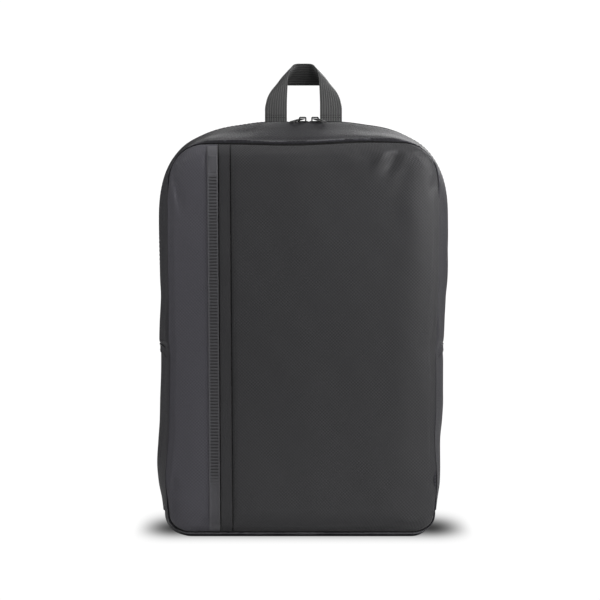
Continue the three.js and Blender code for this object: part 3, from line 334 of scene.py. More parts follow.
def signed_volume(points, faces):
    a, b, c, d = (points[faces[:, i]] for i in range(4))
    return (np.einsum("ij,ij->i", a, np.cross(b, c)) + np.einsum("ij,ij->i", a, np.cross(c, d))).sum()


def wall_mesh(name, outer, inner, weave):
    """A closed sheet between two grids of points, with its rims joined. The third weave value marks
    the reverse side."""
    rows, columns = outer.shape[:2]
    count = rows * columns
    points = np.concatenate([outer.reshape(-1, 3), inner.reshape(-1, 3)])
    index = np.arange(count).reshape(rows, columns)
    rim = np.concatenate([index[0, :-1], index[:-1, -1], index[-1, :0:-1], index[:0:-1, 0]])
    following = np.roll(rim, -1)
    sides = np.stack([following, rim, rim + count, following + count], -1)
    faces = np.concatenate([grid_faces(rows, columns), grid_faces(rows, columns, count, True), sides])
    centred = points - points.mean(0)
    if signed_volume(centred, faces) < 0:
        faces = faces[:, ::-1]
    reverse = weave.reshape(-1, 3) + np.array([0, 0, 1.0])
    both = np.concatenate([weave.reshape(-1, 3), reverse])
    return mesh_object(name, points, faces.tolist(), both)


def tubes(name, rings, weave=None):
    """Closed tubes from rings of points, given tube by tube, ring by ring and point by point."""
    count, steps, sides = rings.shape[:3]
    index = np.arange(steps * sides).reshape(steps, sides)
    following = np.roll(index, -1, 1)
    quads = np.stack([index[:-1], following[:-1], following[1:], index[1:]], -1).reshape(-1, 4)
    faces = []
    for number, points in enumerate(rings.reshape(count, -1, 3)):
        own, ends = quads, [index[0, ::-1], index[-1]]
        if signed_volume(points - points.mean(0), own) < 0:
            own, ends = quads[:, ::-1], [end[::-1] for end in ends]
        faces += (own + number * steps * sides).tolist()
        faces += [(end + number * steps * sides).tolist() for end in ends]
    return mesh_object(name, rings.reshape(-1, 3), faces, weave)


def spread(ways, amounts):
    """Each of many directions times each of a grid of amounts."""
    return ways[:, None, None, :] * amounts[..., None]


def arc_lengths(points):
    steps = np.linalg.norm(np.diff(points, axis=0), axis=-1)
    return np.concatenate([[0], np.cumsum(steps)])


def weave_of(grid):
    """Cloth coordinates in millimetres: along the columns and along the rows of a grid."""
    along = arc_lengths(grid[grid.shape[0] // 2])
    down = arc_lengths(grid[:, grid.shape[1] // 2])
    return xyz(along[None, :], down[:, None], 0.0)


def even_places(point, y, start, end, pitch):
    """Places along a path over the bag, about evenly spaced in length."""
    fine = np.linspace(start, end, 1600)
    length = arc_lengths(point(np.full_like(fine, y), fine))
    count = int(length[-1] / pitch) + 2
    return np.interp(np.linspace(0, length[-1], count), length, fine)


# Materials


class Paint:
    """The nodes of one material or of the world, with short ways to add to them."""

    def __init__(self, owner):
        owner.use_nodes = True
        self.owner = owner
        self.tree = owner.node_tree

    def fill(self, node, values):
        """Gives a node's inputs their constants and links."""
        for key, value in values.items():
            if isinstance(value, bpy.types.NodeSocket):
                self.tree.links.new(value, node.inputs[key])
            else:
                node.inputs[key].default_value = value
        return node

    def add(self, kind, values=None, **settings):
        node = self.tree.nodes.new("ShaderNode" + kind)
        for key, value in settings.items():
            setattr(node, key, value)
        return self.fill(node, values or {})

    def maths(self, operation, *values):
        return self.add("Math", dict(enumerate(values)), operation=operation).outputs[0]

    def wave(self, operation, at, pitch):
        return self.maths(operation, self.maths("MULTIPLY", at, 2 * math.pi / pitch))

    def noise(self, vector, scale, detail):
        return self.add("TexNoise", {"Vector": vector, "Scale": scale, "Detail": detail}).outputs["Fac"]

    def mix(self, share, first, second, blend="MIX"):
        values = {"Factor": share, "A": first, "B": second}
        return self.add("Mix", values, data_type="RGBA", blend_type=blend).outputs["Result"]

    def bump(self, height, strength, distance, before=None):
        values = {"Height": height, "Strength": strength, "Distance": distance}
        if before is not None:
            values["Normal"] = before
        return self.add("Bump", values).outputs["Normal"]

    def weave(self):
        """A piece's cloth coordinates: all together, along, down, and 1 on the reverse side."""
        vector = self.add("Attribute", attribute_name="weave").outputs["Vector"]
        return (vector, *self.add("SeparateXYZ", {0: vector}).outputs)

    def with_painted_light_and_shade(self, colour):
        """Darkens a colour by the painted light and shade of each point."""
        painted_light_and_shade = self.add("Attribute", attribute_name="painted_light_and_shade").outputs["Fac"]
        return self.mix(painted_light_and_shade, grey(0.0), colour)

    def surface(self, values):
        self.fill(self.tree.nodes["Principled BSDF"], values)
        return self.owner

    def seen_apart(self, lit, seen, output):
        """Joins a shader that lights the scene with another that is seen as the ground."""
        direct = self.add("LightPath").outputs["Is Camera Ray"]
        mix = self.add("MixShader", {0: direct, 1: lit.outputs[0], 2: seen.outputs[0]})
        self.fill(self.tree.nodes[output], {"Surface": mix.outputs[0]})


def grey(level, tint=(1.0, 1.0, 1.0)):
    return (level * tint[0], level * tint[1], level * tint[2], 1.0)


# Distances between floats and between yarns in the twill, in millimetres
TWILL_PITCH, YARN_PITCH = 3.4, 0.62


def twill_cloth(name, level, tint, contrast=0.6, sheen=0.2, gloss=0.35, with_painted_light_and_shade=False):
    """Twill: yarn floats that step along a diagonal, with uneven dye over larger patches."""
    paint = Paint(bpy.data.materials.new(name))
    vector, u, v, _ = paint.weave()
    floats = paint.maths("MULTIPLY", paint.wave("COSINE", u, TWILL_PITCH),
                         paint.wave("COSINE", v, TWILL_PITCH))
    dye = paint.noise(vector, 0.035, 3.0)
    patches = paint.maths("MULTIPLY", dye, paint.maths("MULTIPLY", dye, 2.0))
    share = paint.maths("MULTIPLY_ADD", paint.maths("MULTIPLY", floats, patches), contrast, 0.5)
    worn = paint.maths("SUBTRACT", paint.noise(vector, 0.9, 2.0), 0.5)
    share = paint.maths("MULTIPLY_ADD", worn, 0.18, share)
    colour = paint.mix(share, grey(level * 0.55, tint), grey(level * 1.45, tint))
    # Painted light and shade of each point, for pieces that carry it
    if with_painted_light_and_shade:
        colour = paint.with_painted_light_and_shade(colour)
    fine = paint.maths("MULTIPLY", paint.wave("SINE", u, YARN_PITCH), paint.wave("SINE", v, YARN_PITCH))
    normal = paint.bump(floats, 0.3, 0.00018, paint.bump(fine, 0.25, 0.00012))
    return paint.surface({
        "Base Color": colour, "Normal": normal, "Roughness": 0.5, "Sheen Weight": sheen,
        "Sheen Roughness": 0.45, "Specular IOR Level": gloss,
    })


def ribbed_webbing(name, level, tint, pitch, across=False, strength=0.6, back=1.0, with_painted_light_and_shade=False,
                   contrast=0.16):
    """Webbing: fine ribs along or across its length, with the yarn's small irregularities."""
    paint = Paint(bpy.data.materials.new(name))
    vector, u, v, reverse = paint.weave()
    axis, other = (v, u) if across else (u, v)
    shifted = paint.maths("MULTIPLY_ADD", paint.noise(vector, 0.5, 2.0), 0.35, axis)
    rib = paint.wave("SINE", shifted, pitch)
    knots = paint.maths("MULTIPLY_ADD", paint.wave("SINE", other, 0.8), 0.35, rib)
    share = paint.maths("MULTIPLY_ADD", knots, contrast, paint.noise(vector, 1.6, 3.0))
    colour = paint.mix(share, grey(level * 0.6, tint), grey(level * 1.4, tint))
    # Painted light and shade of each point, for pieces that carry it
    if with_painted_light_and_shade:
        colour = paint.with_painted_light_and_shade(colour)
    # Painted shade: a reverse face drawn darker, where it is seen in shade
    if back != 1.0:
        colour = paint.mix(reverse, colour, grey(back), "MULTIPLY")
    return paint.surface({
        "Base Color": colour, "Normal": paint.bump(knots, strength, 0.0002), "Roughness": 0.55,
        "Sheen Weight": 0.3, "Specular IOR Level": 0.4,
    })


def air_mesh(name, level):
    """Knitted spacer mesh: small staggered holes over a soft ground."""
    paint = Paint(bpy.data.materials.new(name))
    vector = paint.weave()[0]
    cells = paint.add("TexVoronoi", {"Vector": vector, "Scale": 0.42, "Randomness": 0.12})
    limits = {"Value": cells.outputs["Distance"], "From Min": 0.18, "From Max": 0.42}
    hole_and_painted_shade = paint.add("MapRange", limits).outputs["Result"]
    # Painted shade: the holes are drawn darker, as shaded inside
    return paint.surface({
        "Base Color": paint.mix(hole_and_painted_shade, grey(level * 0.25), grey(level * 1.3)),
        "Normal": paint.bump(hole_and_painted_shade, 0.7, 0.0006), "Roughness": 0.85, "Sheen Weight": 0.25,
    })


def hard_material(name, level, metallic, roughness, bump):
    """Metal, plastic or waxed thread, slightly uneven and rubbed a little lighter in patches."""
    paint = Paint(bpy.data.materials.new(name))
    vector = paint.add("TexCoord").outputs["Object"]
    wear = paint.noise(vector, 260.0, 4.0)
    return paint.surface({
        "Base Color": paint.mix(wear, grey(level * 0.7), grey(level * 1.4)),
        "Roughness": paint.maths("MULTIPLY_ADD", wear, 0.2, roughness - 0.1),
        "Normal": paint.bump(paint.noise(vector, 1400.0, 3.0), bump, 0.0002), "Metallic": metallic,
    })


# Tints of the dark yarn: a cool one and a fainter one
COOL = (1.0, 0.97, 1.15)
FAINT = (1.0, 0.99, 1.07)
MATERIALS = {
    "cloth": twill_cloth("twill cloth", 0.028, FAINT),
    # Painted light: the side panel's cloth is drawn much lighter than the front's, as lit where it turns
    # towards the left
    "side": twill_cloth("side panel cloth", 0.072, COOL, contrast=0.35),
    "gusset": twill_cloth("gusset cloth", 0.032, COOL, contrast=0.4, sheen=0.04, gloss=0.2),
    # Shell cloth: the gusset cloth with painted shade, darker over the top of the bag
    "shell": twill_cloth("shell cloth", 0.032, COOL, contrast=0.4, sheen=0.04, gloss=0.2, with_painted_light_and_shade=True),
    # Painted highlight: the roll along the top seam is drawn lighter than the strips, as lit from above
    "roll": twill_cloth("rolled edge cloth", 0.06, COOL, contrast=0.2),
    # Painted light: the roll along the foot faces down and is drawn far lighter than the strips, standing in
    # for light on it
    "low_roll_painted_light": twill_cloth("low rolled edge cloth", 0.16, FAINT, contrast=0.2),
    "placket": twill_cloth("placket cloth", 0.028, FAINT, contrast=0.25),
    # Painted shade: the seam allowance is drawn nearly black, as the shade in the seam gaps
    "painted_seam_shade": twill_cloth("seam lining", 0.008, (1, 1, 1), contrast=0.1),
    # Painted shade: back=0.5 darkens the webbing's reverse face, seen shaded in the handle's grip
    "webbing": ribbed_webbing("handle webbing", 0.074, (1, 1, 1), 2.5, back=0.5, contrast=0.55),
    "band": ribbed_webbing("strap webbing", 0.03, (1, 1, 1.01), 1.7),
    # Trim tape cloth with painted light and shade along its edges, ribs and top
    "trim": ribbed_webbing("trim tape cloth", 0.084, (1, 0.98, 1.1), 0.7, across=True, strength=0.3,
                           with_painted_light_and_shade=True),
    "mesh": air_mesh("air mesh", 0.03),
    "zip": ribbed_webbing("zip tape cloth", 0.025, (1, 1, 1), 0.6, strength=0.4),
    "coil": hard_material("zip coil nylon", 0.03, 0.0, 0.4, 0.05),
    "metal": hard_material("gunmetal", 0.009, 0.5, 0.45, 0.04),
    "plastic": hard_material("buckle plastic", 0.016, 0.0, 0.45, 0.08),
    "thread": hard_material("sewing thread", 0.03, 0.0, 0.7, 0.2),
    "dark_thread": hard_material("dark sewing thread", 0.006, 0.0, 0.8, 0.2),
}

# The front

FRONT_EDGE = {
    "half": SEAM["half"] - PANEL_EDGE_GAP,
    "top": SEAM["top"] - PANEL_EDGE_GAP,
    "bottom": SEAM_LIFT + 0.5,
    "top_corner": SEAM["across"] - PANEL_EDGE_GAP,
    "foot_corner": FOOT_RADIUS - PANEL_EDGE_GAP,
}


def chord(share):
    return np.sqrt(np.maximum(0, 1 - share * share))


def edge_half(z):
    """Half the panel's width: along the sides it reaches into the strips, where no gap is seen."""
    return FRONT_EDGE["half"] + (PANEL_EDGE_GAP + 0.9) * beside(z)


def edge_reach(z, hand):
    """How far the front panel reaches to one side at each height."""
    edge = FRONT_EDGE
    half = edge_half(z) * waist_at(z, np.full_like(z, hand), 0)
    into_top = z - (edge["top"] - edge["top_corner"])
    into_foot = edge["bottom"] + edge["foot_corner"] - z
    top = half - edge["top_corner"] * (1 - chord(np.clip(into_top / edge["top_corner"], 0, 1)))
    foot = half - edge["foot_corner"] * (1 - chord(np.clip(into_foot / edge["foot_corner"], 0, 1)))
    return np.where(into_top > 0, top, np.where(into_foot > 0, foot, half))


def edge_distance(x, z):
    """Distance from the front panel's edge, with its rounded corners."""
    edge = FRONT_EDGE
    radius = np.where(z > BAG_HEIGHT / 2, edge["top_corner"], edge["foot_corner"])
    to_side = edge_half(z) * waist_at(z, np.sign(x), 0) - np.abs(x)
    to_end = np.minimum(edge["top"] - z, z - edge["bottom"])
    corner = radius - np.hypot(radius - to_side, radius - to_end)
    return np.where((to_side < radius) & (to_end < radius), corner, np.minimum(to_side, to_end))


def dent_at(x, z):
    """How deep the folds and dents are at each point of the front."""
    total = np.zeros_like(x)
    for across, height, wide, tall, turn, deep in FRONT_DENTS:
        angle = math.radians(turn)
        dx = x - across
        dz = z - height
        u = (dx * math.cos(angle) + dz * math.sin(angle)) / wide
        v = (dz * math.cos(angle) - dx * math.sin(angle)) / tall
        total = total + deep * np.exp(-u * u - v * v)
    return total


# How steeply the panel falls towards its left and right edges
LEFT_FALL, RIGHT_FALL = 1.35, 2.3


def front_crown(x, z, recess=0.0):
    """How far the front stands out before its seam: its dome, less the recess and the dents."""
    edge = FRONT_EDGE
    to_end = np.minimum(edge["top"] - z, z - edge["bottom"])
    to_side = edge_half(z) * waist_at(z, np.sign(x), 0) - np.abs(x)
    end = rise(to_end / FRONT_TOP_ROLL)
    side = rise(to_side / FRONT_SIDE_ROLL)
    inward = np.clip(to_side / FRONT_SIDE_ROLL, 0, 1)
    fall = 1 - (1 - inward) ** np.where(x < 0, LEFT_FALL, RIGHT_FALL)
    start = SIDE_FORWARD / FRONT_CROWN
    flat = beside(z)
    side = lerp(side, start + (1 - start) * fall, flat)
    rim = lerp(rise(edge_distance(x, z) / EDGE_ROLL), 1, flat)
    return (FRONT_CROWN * side - recess) * end * rim - dent_at(x, z) * rim * end


def leaning(x, z):
    """Places across that follow the tape, whose foot leans to one side."""
    return x + TAPE_LEAN * (1 - z / BAG_HEIGHT)


TAPE_RIGHT = TAPE_CENTRE + TAPE_WIDTH / 2
PLACKET_LEFT = TAPE_RIGHT + GAP
PLACKET_RIGHT = PLACKET_LEFT + PLACKET_WIDTH
MAIN_LEFT = PLACKET_RIGHT + GAP


def panel_heights(pitch):
    edge = FRONT_EDGE
    total = edge["top"] - edge["bottom"]
    count = int(total / pitch)
    even = np.linspace(edge["bottom"], edge["top"], count)
    close = np.array([0.05, 0.25, 0.6, 1.1])
    return np.unique(np.concatenate([even, edge["bottom"] + close, edge["top"] - close]))


def settle(x, z):
    """Slight unevenness of stuffed cloth, and puckers drawn in by the seam round it."""
    distance = edge_distance(x, z)
    broad = 0.28 * ripples(11, x, z, 74, stretch=2.2) + 0.1 * ripples(12, x, z, 31, stretch=1.6)
    near = np.exp(-np.maximum(distance, 0) / 7.0)
    pucker = (0.18 + 0.2 * smooth(350, 395, z)) * ripples(13, x, z, 11, count=4) * near
    return (broad * smooth(2, 26, distance) + pucker) * smooth(0, 2.5, distance)


FRONT_PITCH = 1.5


def front_piece(node, left_at, right_at, recess_at, material):
    """One panel of the front between its two edges, domed, dented and a little uneven."""
    z = panel_heights(FRONT_PITCH)
    left, right = left_at(z), right_at(z)
    count = int((right - left).max() / FRONT_PITCH) + 2
    share = np.unique(np.concatenate([np.linspace(0, 1, count), [0.003, 0.997]]))
    x = left[:, None] + (right - left)[:, None] * share[None, :]
    z = np.broadcast_to(z[:, None], x.shape)
    thin = beside(z) * (1 - smooth(0, 7, edge_distance(x, z)))
    height = front_crown(x, z, recess_at(x, z)) + CLOTH * (1 - 1.45 * thin) + settle(x, z)
    outer = sagged(xyz(x, -HALF_DEPTH - height, z))
    inner = outer + np.array([0, CLOTH * 0.9, 0])
    obj = wall_mesh(node + "_cloth", outer, inner, weave_of(outer))
    finish_piece(obj, material, [node])


def main_left(z):
    return leaning(MAIN_LEFT, z)


def fold_recess(x, z):
    return PLACKET_RECESS * (1 - rise((x - main_left(z)) / FOLD_ROLL))


front_piece("front_panel_main", main_left, lambda z: edge_reach(z, 1), fold_recess, "cloth")
front_piece("front_panel_side", lambda z: -edge_reach(z, -1), lambda z: leaning(TAPE_RIGHT, z),
            lambda x, z: 0, "side")

# The placket: how far it runs on under its neighbours, its steps down to them and its grooves
PLACKET_UNDER, PLACKET_STEP, PLACKET_STEP_WIDTH, PLACKET_GROOVE = 3.0, 2.3, 0.3, 0.9


def placket():
    """The strip, which runs on a little under both of its neighbours."""
    z = panel_heights(FRONT_PITCH)
    step = np.array([0, 0.4, 1]) * PLACKET_STEP_WIDTH - PLACKET_GROOVE
    under = PLACKET_LEFT - np.concatenate([[PLACKET_UNDER], step[::-1]])
    beyond = PLACKET_RIGHT + np.concatenate([step, [PLACKET_UNDER]])
    inside = np.linspace(PLACKET_LEFT + 1.2, PLACKET_RIGHT - 1.2, 10)
    columns = np.concatenate([under, inside, beyond])
    x = leaning(columns[None, :], z[:, None])
    zz = np.broadcast_to(z[:, None], x.shape)
    outside = np.maximum(PLACKET_LEFT - columns, columns - PLACKET_RIGHT)
    sunk = PLACKET_STEP * np.clip((outside + PLACKET_GROOVE) / PLACKET_STEP_WIDTH, 0, 1)[None, :]
    height = front_crown(x, zz, PLACKET_RECESS) + settle(x, zz) + CLOTH - sunk
    outer = sagged(xyz(x, -HALF_DEPTH - height, zz))
    obj = wall_mesh("pocket_placket_cloth", outer, outer + np.array([0, CLOTH * 0.8, 0]), weave_of(outer))
    finish_piece(obj, "placket", ["pocket_placket"])


placket()

# The trim tape

RIB_FOOT, RIB_TOP, RIB_PITCH, RIB_DEPTH, RIB_FADE = 70.0, 371.0, 3.2, 0.75, 22.0
BAR_TOP, BAR_LOW = 392.0, 375.5


def trim_tape():
    """The tape, with ribs that fade out towards its foot and a sewn bar near its top."""
    heights = np.linspace(FRONT_EDGE["bottom"] + TAPE_END_GAP, FRONT_EDGE["top"] - TAPE_END_GAP, 960)
    shares = np.array([-1, -0.97, -0.9, -0.78, -0.6, -0.3, 0, 0.3, 0.6, 0.78, 0.9, 0.97, 1])
    share, v = np.meshgrid(shares, heights)
    u = share * TAPE_WIDTH / 2
    x = leaning(TAPE_CENTRE, v) + u
    ribbed = smooth(RIB_FOOT - RIB_FADE, RIB_FOOT, v) * (1 - smooth(RIB_TOP, RIB_TOP + 3, v))
    valley = 0.5 + 0.5 * np.cos(2 * math.pi * (v - RIB_FOOT) / RIB_PITCH)
    inside = 1 - smooth(0.62, 0.86, np.abs(share))
    thickness = TAPE_THICKNESS * (0.45 + 0.55 * rise((1 - np.abs(share)) * 4))
    bars = 0.5 * (bell(v, BAR_TOP, 0.8) - bell(v, BAR_LOW, 0.9))
    rims = 0.35 * bell(np.abs(u), TAPE_WIDTH / 2 - 1.1, 0.7) * (1 - ribbed)
    thickness = thickness - RIB_DEPTH * ribbed * inside * valley ** 1.5 + bars * inside + rims
    under = HALF_DEPTH + CLOTH + front_crown(x, v) + settle(x, v) + 0.2
    outer, inner = sagged(xyz(x, -under - thickness, v)), sagged(xyz(x, -under, v))
    obj = wall_mesh("trim_tape_ribbed", outer, inner, xyz(u, v, 0.0))
    # Painted light and shade on the tape: lighter towards its top and along its left edge, darker along its
    # right edge and in the valleys between its ribs
    painted_light_and_shade = 0.72 + 0.2 * smooth(300, 385, v)
    painted_light_and_shade = painted_light_and_shade + 0.28 * (1 - smooth(-0.8, -0.62, share)) - 0.4 * smooth(0.8, 0.95, share)
    add_painted_light_and_shade(obj, np.clip(painted_light_and_shade * (1 - 0.8 * ribbed * inside * valley), 0, 1))
    finish_piece(obj, "trim", ["trim_tape"])


trim_tape()

# Strips between the seams

# Painted shade over the top of the bag: the share of the yarn's colour that is left there
TOP_PAINTED_SHADE = 0.63
# Height of the lip that the seam leaves on the strips, of its raised edge and of the fullness at
# the join of the strips, in millimetres
SIDE_LIP, SEAM_RIDGE, JOIN_FULLNESS = 0.75, 1.2, 1.8


def shell_piece(node, point, depths, places, lift):
    """A strip of the shell, lifted off the bag's plain surface by its waves and puckers."""
    y, place = np.meshgrid(depths, places, indexing="ij")
    surface = point(y, place)
    normal = outwards(point, y, place)
    weave = weave_of(surface)
    surface = surface + normal * lift(surface, y, weave)[..., None]
    surface, inner = drawn(surface), drawn(surface - normal * CLOTH)
    obj = wall_mesh(node + "_cloth", surface, inner, weave)
    # Painted shade: the strips are drawn darker over the top of the bag
    add_painted_light_and_shade(obj, lerp(1, TOP_PAINTED_SHADE, smooth(350, 400, surface[..., 2])))
    finish_piece(obj, "shell", [node])


def strip_depths(start, stop, pitch):
    return np.linspace(start, stop, int(abs(stop - start) / pitch) + 2)


def side_lip(from_seam):
    """The lip along a seam, which is taken off where the sides are drawn flat."""
    return SIDE_LIP * bell(from_seam, 1.9, 2.4) * smooth(0, 1.4, from_seam)


def base_lift(surface, y, weave):
    from_seam, z = HALF_DEPTH - np.abs(y), surface[..., 2]
    full = JOIN_FULLNESS * smooth(-3, 0.5, z - hem_height(y)) * smooth(0, 14, from_seam)
    return full - side_lip(from_seam) * smooth(30, 60, z)


def strip_lift(seed, ridge=0.0):
    def lift(surface, y, weave):
        from_seam, along, z = HALF_DEPTH - np.abs(y), weave[..., 0], surface[..., 2]
        broad = 0.25 * ripples(seed, along, y, 60, stretch=1.4) * smooth(JOIN_HEIGHT, JOIN_HEIGHT + 14, z)
        pucker = 0.16 * ripples(seed + 1, along, y * 0.2, 9, count=4) * np.exp(-from_seam / 6)
        pucker = pucker * smooth(300, 360, z)
        uneven = 0.75 + 0.35 * ripples(seed + 2, along, 0 * y, 38, count=4)
        rolled = ridge * uneven * bell(from_seam, 2.6, 1.7) * smooth(330, 385, z)
        full = JOIN_FULLNESS * (1 - smooth(JOIN_HEIGHT, JOIN_HEIGHT + 55, z)) * smooth(0, 14, from_seam)
        waves = (broad * smooth(2, 14, from_seam) + pucker + rolled) * smooth(0, 2, from_seam)
        return waves + full - side_lip(from_seam) * (1 - smooth(335, 385, z))
    return lift


zip_front, zip_back = ZIP_PLACE - ZIP_CHANNEL / 2, ZIP_PLACE + ZIP_CHANNEL / 2
top_places = even_places(over_top, ZIP_PLACE, -3, 3, 2.2)
base_places = even_places(under_foot, ZIP_PLACE, -3, 3, 2.4)
near_front = -SHELL_END + np.array([0, 0.3, 0.7, 1.1, 1.6, 2.2, 3.0, 3.8])
near_back = -near_front[::-1]
front_depths = np.concatenate([near_front, strip_depths(-SHELL_END + 5, zip_front, 1.8)])
back_depths = np.concatenate([strip_depths(zip_back, SHELL_END - 5, 2.2), near_back])
base_depths = np.concatenate([near_front, strip_depths(-SHELL_END + 5, SHELL_END - 5, 2.6), near_back])
shell_piece("gusset_front", over_top, front_depths, top_places, strip_lift(21, SEAM_RIDGE))
shell_piece("gusset_back", over_top, back_depths, top_places, strip_lift(31))
shell_piece("gusset_base", under_foot, base_depths, base_places, base_lift)


def seam_roll(name, point, reach, radius, setback, below, seed, material):
    """The edge of a strip stands up unevenly along the seam, as a thin roll of cloth."""
    places = even_places(point, -SHELL_END, -reach, reach, 1.4)
    y = np.full_like(places, -SHELL_END + setback)
    edge = point(y, places)
    normal = outwards(point, y, places)
    length = arc_lengths(edge)
    size = radius * (0.85 + 0.22 * ripples(seed, length, 0 * length, 30, count=4)
                     + 0.1 * ripples(seed + 1, length, 0 * length, 8, count=4))
    size = np.maximum(size, 0.25) * smooth(0, 12, length) * smooth(0, 12, length[-1] - length)
    size = np.maximum(size, 0.02)
    turns = np.linspace(0, 2 * math.pi, 13)[:-1]
    forward = np.array([0, -1.0, 0])
    rings = (edge - normal * below)[:, None, :] + size[:, None, None] * (
        normal[:, None, :] * np.cos(turns)[None, :, None] * 1.1
        + forward * np.sin(turns)[None, :, None]
    )
    weave = xyz(length[:, None], turns[None, :] * radius, 0.0)
    obj = tubes(name, drawn(rings)[None], weave)
    finish_piece(obj, material, sharp=70)


# The top roll carries a painted highlight along the seam
seam_roll("seam_roll_top", over_top, 2.05, 1.0, 1.5, 0.35, 51, "roll")
# The low roll is painted light on a downward-facing edge
seam_roll("seam_roll_base", under_foot, 1.5, 1.3, 0.3, -0.1, 61, "low_roll_painted_light")

SEAM_FOLD_DEPTH, SEAM_FOLD_SETBACK, SEAM_FOLD_THICKNESS = 9.0, 0.9, 1.2


def seam_fold(name, point, places, hand):
    """The seam allowance, turned inwards behind the panel all along the seam."""
    y = np.full_like(places, hand * (SHELL_END - SEAM_FOLD_SETBACK))
    edge = point(y, places)
    normal = outwards(point, y, places)
    reaches = np.array([CLOTH * 0.3, SEAM_FOLD_DEPTH * 0.4, SEAM_FOLD_DEPTH])
    outer = edge[:, None, :] - normal[:, None, :] * reaches[None, :, None]
    outer[..., 1] = y[:, None]
    inner = outer - np.array([0, hand * SEAM_FOLD_THICKNESS, 0])
    obj = wall_mesh(name, drawn(outer), drawn(inner), weave_of(outer))
    # The seam allowance is painted nearly black: painted shade in the seam gaps
    finish_piece(obj, "painted_seam_shade")


for side, hand in (("front", -1), ("back", 1)):
    seam_fold("seam_allowance_top_" + side, over_top, top_places, hand)
    seam_fold("seam_allowance_base_" + side, under_foot, base_places, hand)

# Stitches


def stitch_row(name, centres, outs, length=2.4, radius=0.32, material="thread"):
    """Short threads lying along a row of points, each a small capsule half sunk in the cloth."""
    along = np.gradient(centres, axis=0)
    along /= np.linalg.norm(along, axis=1, keepdims=True)
    outs = np.broadcast_to(outs, centres.shape)
    share, wide = np.array([[-0.5, -0.36, 0.36, 0.5], [0.35, 0.9, 0.9, 0.35]])[:, :, None]
    turns = np.arange(6) * math.pi / 3
    height = wide * np.sin(turns) - 1.2 * np.abs(share) + 0.35
    rings = centres[:, None, None, :] + spread(along, share * length) + spread(outs, radius * height)
    rings = rings + spread(np.cross(outs, along), radius * wide * np.cos(turns))
    obj = tubes(name, rings)
    finish_piece(obj, material, sharp=80)


def row_points(path, pitch, *others):
    """Places a pitch apart along a path, and after them the values of other rows there."""
    length = arc_lengths(path)
    at = np.arange(pitch, length[-1] - pitch, pitch)
    return [np.stack([np.interp(at, length, row[:, i]) for i in range(3)], -1) for row in (path, *others)]


def front_stitches():
    """The row of stitches along the fold of the wide panel."""
    z = np.linspace(20, 388, 400)
    x = main_left(z) + FOLD_ROLL * 0.42
    y = -HALF_DEPTH - CLOTH - front_crown(x, z, fold_recess(x, z)) - settle(x, z)
    stitch_row("fold_stitches", row_points(sagged(xyz(x, y, z)), 4.2)[0], np.array([0, -1.0, 0]))


front_stitches()


def hem_foot(y):
    return hem_height(y) - POCKET_HEM_HEIGHT


def pocket_folds(hand, y, z):
    return 0.35 * ripples(41 + hand, y, z, 42, stretch=2.0)


def hem_stitches():
    """A row of stitches along the foot of each side pocket's hem."""
    for side, hand in SIDES:
        y = np.linspace(-58, 58, 120)
        z = hem_foot(y) + 1.8
        place = place_of_height(z, hand)
        lift = POCKET_HEM_THICKNESS + GAP + 0.05 + pocket_folds(hand, y, z)
        row = pocket_line(y, place) + outwards(pocket_line, y, place) * lift[:, None]
        stitch_row("hem_stitches_" + side, row_points(row, 4.0)[0], np.array([hand * 1.0, 0, 0]), length=2.2)


def edge_stitches(name, y_at):
    """A row over the top of the bag, beside the zip."""
    y = np.full_like(top_places, y_at)
    surface = over_top(y, top_places)
    centres, outs = row_points(surface, 4.4, outwards(over_top, y, top_places))
    outs /= np.linalg.norm(outs, axis=1, keepdims=True)
    stitch_row(name, drawn(centres - outs * 0.1), outs, radius=0.26, material="dark_thread")


edge_stitches("zip_stitches_front", zip_front - 2.2)
edge_stitches("zip_stitches_back", zip_back + 2.2)

# The zip: tape and coil

ZIP_TAPE_HALF, ZIP_TAPE_THICKNESS, ZIP_COIL_PITCH = 12.8, 0.9, 1.5
# Places across the zip along one turn of the coil, and half its height there
COIL_REACH, COIL_HALF = [-0.6, 0.4, 1.6, 2.4], [0.62, 0.78, 0.78, 0.62]


def zip_pieces():
    """The zip's tape, and its coil as short threads that point forward and back in turn."""
    places = even_places(over_top, ZIP_PLACE, -3, 3, 2.4)
    depths = np.linspace(ZIP_PLACE - ZIP_TAPE_HALF, ZIP_PLACE + ZIP_TAPE_HALF, 14)
    y, place = np.meshgrid(depths, places, indexing="ij")
    surface = over_top(y, place)
    normal = outwards(over_top, y, place)
    outer = surface - normal * (CLOTH + GAP)
    inner = outer - normal * ZIP_TAPE_THICKNESS
    tape = wall_mesh("main_zip_tape", drawn(outer), drawn(inner), weave_of(surface))
    finish_piece(tape, "zip", ["main_zip"])
    fine = even_places(over_top, ZIP_PLACE, -3, 3, ZIP_COIL_PITCH)
    y = np.full_like(fine, ZIP_PLACE)
    path, out = over_top(y, fine), outwards(over_top, y, fine)[1:-1]
    along = path[2:] - path[:-2]
    along /= np.linalg.norm(along, axis=1, keepdims=True)
    hands = np.where(np.arange(len(along)) % 2, -1.0, 1.0)
    sideways = hands[:, None] * np.array([0, 1.0, 0])
    reach, size = np.array([COIL_REACH, COIL_HALF])[:, :, None]
    turns = np.arange(6) * math.pi / 3
    rings = (path[1:-1] - out * (CLOTH - 0.1))[:, None, None, :] + spread(sideways, reach)
    rings = rings + spread(along, np.cos(turns) * size * 0.55 / 0.62) + spread(out, np.sin(turns) * size)
    coil = tubes("main_zip_coil", drawn(rings))
    finish_piece(coil, "coil", sharp=60)


zip_pieces()

# Side pockets


